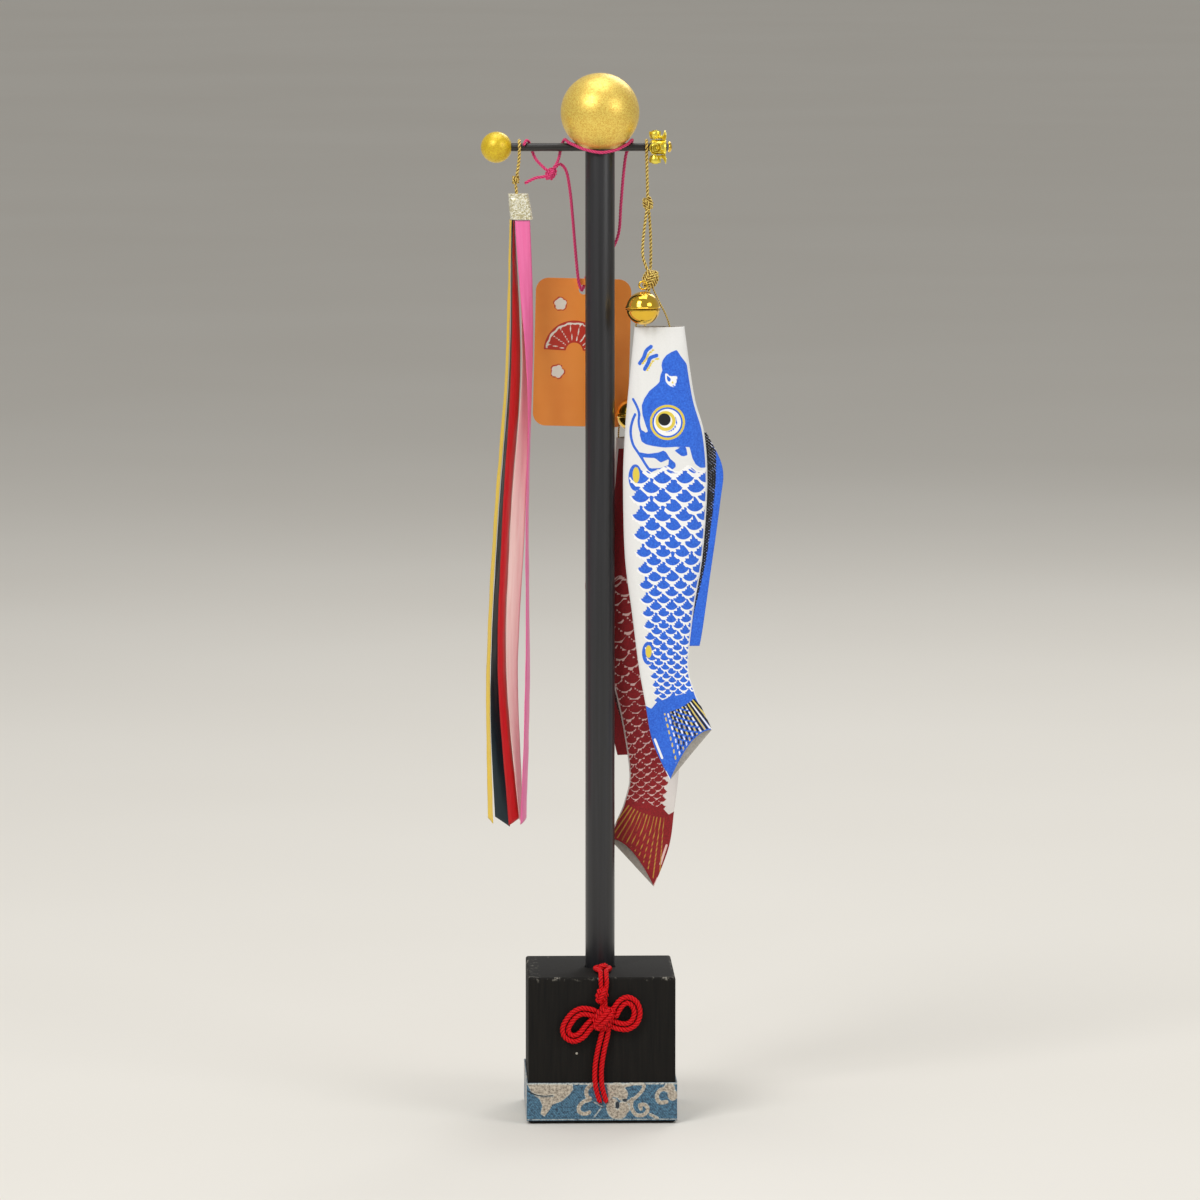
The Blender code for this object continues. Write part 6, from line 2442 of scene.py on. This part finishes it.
@dataclass
class CardTag:
    """The orange card behind the pole and the pink cord that ties it to the bar."""

    width: float = 29.3
    height: float = 45.5
    corner: float = 4.0
    thickness: float = 0.6
    hole: float = 3.0
    hole_drop: float = 3.4
    x: float = -5.2
    top: float = -41.0
    y: float = 11.9
    tilt: float = 1.5
    cord: float = 1.0 * MM
    grid: float = 0.5
    bend: float = 0.105  # how far the card bows along its height

    def build(self, cordage: Cordage) -> None:
        """Builds the card and its cords."""
        self.card()
        self.cords(cordage)

    def marks(self, at: np.ndarray) -> dict[str, np.ndarray]:
        """Plain marks on the card: two blossoms and a fan, with no writing.

        Args:
            at: x and z in mm from the card's middle.

        Returns:
            Distances inside the red and the pale areas.
        """
        petals = []
        for middle, size, turn in (((-7.0, 14.8), 2.1, 20), ((-7.4, -6.0), 2.2, 70)):
            for k in range(5):
                a = math.radians(turn + 72 * k)
                petals.append(
                    disc(
                        at,
                        (
                            middle[0] + 0.5 * size * math.cos(a),
                            middle[1] + 0.5 * size * math.sin(a)
                        ),
                        0.42 * size
                    )
                )
        bloom = over(*petals)
        away = at - np.array((-2.4, 0.4))
        angle = np.degrees(np.arctan2(away[:, 0], away[:, 1]))
        far = np.hypot(away[:, 0], away[:, 1])
        fan = np.minimum(np.minimum(far - 2.6, 9.4 - far), (88 - np.abs(angle)) / 57.3 * far)
        ribs = np.minimum(0.2 - np.abs((np.mod(angle + 88, 22) - 11) / 57.3 * far), fan - 0.5)
        scallops = np.minimum(
            0.28 - np.abs(far - 8.3 - 0.35 * np.abs(np.sin(np.radians(angle * 8)))), fan - 0.2
        )
        pale = over(bloom, ribs, scallops)
        red = over(0.22 - np.abs(bloom + 0.18), fan)
        return {"red": red, "pale": pale}

    def card(self) -> None:
        """The card itself: a fine grid cut to round corners, with its hole punched."""
        deselect()
        half_x, half_z = self.width / 2, self.height / 2
        bpy.ops.mesh.primitive_grid_add(
            x_subdivisions=round(self.width / self.grid),
            y_subdivisions=round(self.height / self.grid), size=1.0
        )
        piece = bpy.context.active_object
        piece.name = "orange_card"
        piece.scale = (self.width, self.height, 1.0)
        piece.rotation_euler = (math.pi / 2, 0, 0)
        settle(piece)
        co = np.array([v.co for v in piece.data.vertices])
        core = np.clip(
            co[:, [0, 2]], (-half_x + self.corner, -half_z + self.corner),
            (half_x - self.corner, half_z - self.corner)
        )
        off = co[:, [0, 2]] - core
        far = np.linalg.norm(off, axis=1)
        # each point of a corner square is drawn in to the round corner
        most = np.maximum(np.abs(off[:, 0]), np.abs(off[:, 1]))
        share = np.where(far > 1e-6, most / np.maximum(far, 1e-6), 1.0)
        both = (np.abs(off[:, 0]) > 1e-6) & (np.abs(off[:, 1]) > 1e-6)
        off = np.where(both[:, None], off * share[:, None], off)
        for vert, (a, b) in zip(piece.data.vertices, core + off):
            vert.co = (a, self.bend * math.sin(0.09 * b), b)
        fields = self.marks(np.array([(v.co.x, v.co.z) for v in piece.data.vertices]))
        for field, values in fields.items():
            store(piece, field, values)
        apply(piece, "SOLIDIFY", thickness=self.thickness * 0.8, offset=0.0)
        deselect()
        bpy.ops.mesh.primitive_cylinder_add(
            vertices=48, radius=self.hole / 2, depth=4, location=(0, 0, half_z - self.hole_drop),
            rotation=(math.pi / 2, 0, 0)
        )
        cutter = bpy.context.active_object
        apply(piece, "BOOLEAN", operation="DIFFERENCE", solver="EXACT", object=cutter)
        bpy.data.objects.remove(cutter, do_unlink=True)
        middle = Vector((self.x * MM, self.y * MM, BAR.z + (self.top - self.height / 2) * MM))
        piece.data.transform(
            Matrix.Translation(middle) @ Matrix.Rotation(
                math.radians(self.tilt), 4, "Y"
            ) @ Matrix.Scale(MM, 4)
        )
        smooth(piece, 40)
        dress(piece, PrintedCard().make())
        take_place(piece, Body.TAG, "tag")

    def cords(self, cordage: Cordage) -> None:
        """The pink cord: the hanger through the hole, and its ties on the bar."""
        pink = CordColour.PINK
        hole = Vector((self.x, self.y, self.top - self.hole_drop))
        points = (
            (-14.2, 0.4, -6.9), (-12.2, 1.9, -5.3), (-10.2, 2.6, -7.6), (-9.0, 3.8, -14.0),
            (-8.2, 5.6, -22.0), (-7.4, 8.4, -31.0), (hole.x - 1.2, hole.y - 1.6, -41.0),
            (hole.x - 0.3, hole.y - 1.1, hole.z + 0.2), (hole.x, hole.y, hole.z - 0.1),
            (hole.x + 0.5, hole.y + 1.2, hole.z + 0.6), (hole.x + 1.0, hole.y + 1.2, -41.5),
            (hole.x + 2.8, hole.y + 0.4, -38.2), (3.0, 8.4, -33.0), (5.8, 6.4, -27.0),
            (6.5, 4.6, -18.0), (7.2, 3.2, -9.0), (8.0, 2.6, -2.4), (9.0, 2.3, -0.6),
        )
        route = [tuple(BAR + Vector(p) * MM) for p in points]
        hanger = cordage.rope("tag_hanging_cord", pink, self.cord).build(route)
        dress(hanger, cordage.made[pink])
        take_place(hanger, Body.TAG, "tag_cord")
        reach = 1.25 * MM + 0.3 * MM + self.cord / 2
        cordage.knot(
            "tag_cord_knot", pink, tuple(BAR + Vector((-15.0, -0.6, -8.1)) * MM),
            (4.2 * MM, 3.2 * MM, 4.8 * MM), 0.95 * self.cord, Body.STAND, 35, -50, 1
        )
        tie = [
            BAR + Vector(p) * MM
            for p in ((-15.6, -0.7, -7.4), (-17.0, -1.0, -6.3), (-19.6, 1.5, -3.6))
        ]
        tie += [
            BAR + Vector(
                (x * MM, reach * math.cos(math.radians(a)), reach * math.sin(math.radians(a)))
            ) for x,
            a in ((-20.9, -15), (-21.6, 40), (-22.3, 90), (-22.9, 130), (-23.3, 165))
        ]
        cordage.cord("tag_left_hitch", pink, tie, self.cord, Body.STAND, ["tag_cord_left_hitch"])
        self.ball_turn(cordage, reach)
        tail = [
            BAR + Vector(p) * MM
            for p in (
                (-15.8, -0.8, -8.6), (-17.4, -1.0, -9.0), (-19.6, -1.3, -9.3), (-21.6, -1.4, -10.2),
                (-23.0, -1.4, -11.0)
            )
        ]
        cordage.cord("tag_cord_end", pink, tail, self.cord, Body.STAND, ["tag_cord_tail"])

    def ball_turn(self, cordage: Cordage, reach: float) -> None:
        """The run of pink cord that passes in front of the pole, under the gold ball."""
        front = 4.5 * MM + 0.3 * MM + self.cord / 2
        back = reach + 0.1 * MM
        run = [
            BAR + Vector(p) * MM
            for p in ((-14.6, -1.0, -6.8), (-13.4, -1.6, -5.2), (-12.6, 0.6, -3.6))
        ]
        run += [
            BAR + Vector((-12.0 * MM, back, -1.2 * MM)),
            BAR + Vector((-11.3 * MM, back - 0.2 * MM, 1.4 * MM)),
            BAR + Vector((-10.6 * MM, 0.3 * MM, back + 0.2 * MM)),
            BAR + Vector((-9.6 * MM, -back + 0.4 * MM, 1.6 * MM)),
            BAR + Vector((-7.1 * MM, -3.7 * MM, 0.5 * MM)),
            BAR + Vector((-4.7 * MM, -front + 0.2 * MM, -0.4 * MM)),
            BAR + Vector((0, -front - 0.45 * MM, -1.3 * MM)),
            BAR + Vector((4.6 * MM, -front + 0.2 * MM, -0.6 * MM)),
            BAR + Vector((7.0 * MM, -3.6 * MM, 0.4 * MM)),
            BAR + Vector((8.5 * MM, -back + 0.1 * MM, 1.1 * MM)),
            BAR + Vector((9.7 * MM, -0.2 * MM, back)),
            BAR + Vector((9.8 * MM, 1.3 * MM, back - 0.4 * MM)),
            BAR + Vector((9.2 * MM, back + 0.1 * MM, 0.4 * MM)),
        ]
        turn = cordage.cord(
            "tag_ball_cord", CordColour.PINK, run, self.cord, Body.STAND, ["tag_cord_ball_turn"]
        )


# ---- studio ------------------------------------------------------------------------------------


@dataclass
class Studio:
    """The pale floor, the soft lights and the camera."""

    eye: Place = (-0.072, -2.66, 0.454)
    aim: Place = (0.0, 0.0, 0.1585)
    lens: float = 262.0
    daylight: float = 0.45
    aim_height: float = 0.18  # where the lamps point, in metres over the floor
    floor_side: float = 30.0

    def build(self) -> None:
        """Builds the studio round the stand."""
        deselect()
        bpy.ops.mesh.primitive_grid_add(
            x_subdivisions=4, y_subdivisions=4, size=self.floor_side, location=(0, 0, -0.0002)
        )
        floor = settle(bpy.context.active_object)
        floor.name = "studio_floor"
        dress(floor, PaleFloor().make())
        world = bpy.data.worlds.new("soft_studio")
        world.use_nodes = True
        world.node_tree.nodes["Background"].inputs[0].default_value = colour("#F2F0EC")
        world.node_tree.nodes["Background"].inputs[1].default_value = self.daylight
        bpy.context.scene.world = world
        lights = (
            ("key", (-0.9, -1.3, 1.5), 0.8, 17.5),
            ("fill", (1.2, -1.1, 0.9), 0.8, 6.5),
            ("top", (0.0, 0.1, 1.6), 1.0, 8.0),
            ("rim", (0.5, 1.2, 1.1), 0.7, 5.0),
        )
        for name, place, size, power in lights:
            data = bpy.data.lights.new(name, "AREA")
            data.size, data.energy = size, power
            lamp = bpy.data.objects.new(name, data)
            lamp.location = place
            lamp.rotation_euler = (
                Vector((0, 0, self.aim_height)) - Vector(place)
            ).to_track_quat("-Z", "Y").to_euler()
            bpy.context.scene.collection.objects.link(lamp)
        bpy.context.scene.view_settings.view_transform = "Standard"
        data = bpy.data.cameras.new("camera")
        data.lens, data.sensor_width = self.lens, 36.0
        data.clip_start, data.clip_end = 0.05, 60.0
        camera = bpy.data.objects.new("camera", data)
        camera.location = self.eye
        camera.rotation_euler = (
            Vector(self.aim) - Vector(self.eye)
        ).to_track_quat("-Z", "Y").to_euler()
        bpy.context.scene.collection.objects.link(camera)
        bpy.context.scene.camera = camera


def carps() -> list[Carp]:
    """The two carps: the blue one in front, and the red one behind it, facing the other way."""
    blue = Carp(
        "blue", tuple(BAR + Vector((18.0, -4.8, -54.5)) * MM), False, 0.0, Body.BLUE,
        PrintedCrepe(
            "blue_printed_crepe", "#F4F4F2", "#3478EE", "#1F5AD2", "#FFFFFF", "#EBD24E", "#0E0F14"
        ),
        PlainCrepe("blue_crepe_back", "#CFCAC2"), rim=0.27, rim_from=-0.4, crown=0.0,
    )
    red = Carp(
        "red", tuple(BAR + Vector((12.8, 7.4, -89.2)) * MM), True, math.radians(-3.0), Body.RED,
        PrintedCrepe(
            "red_printed_crepe", "#E6DFDA", "#9E0E19", "#7C0911", "#E8C0BA", "#C08A34", "#340408"
        ),
        PlainCrepe("red_crepe_back", "#C4BAB0"), rim=0.15, rim_from=0.34, crown=-3.3, eye_slide=2.4,
        plain_rays=True,
    )
    return [blue, red]


def main() -> None:
    """Builds the stand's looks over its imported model."""
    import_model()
    Studio().build()
    cordage = Cordage.ready()
    builders: tuple[Callable[[], None], ...] = (
        lambda: HungCarps().build(cordage),
        lambda: CardTag().build(cordage),
        lambda: Bow().build(cordage),
        lambda: RibbonBunch().build(cordage),
        Stand().build,
        BrocadeBand().build,
        FlowerWheel().build,
    )
    for build in builders:
        build()
    for carp in carps():
        carp.build()


if __name__ == "__main__":
    main()
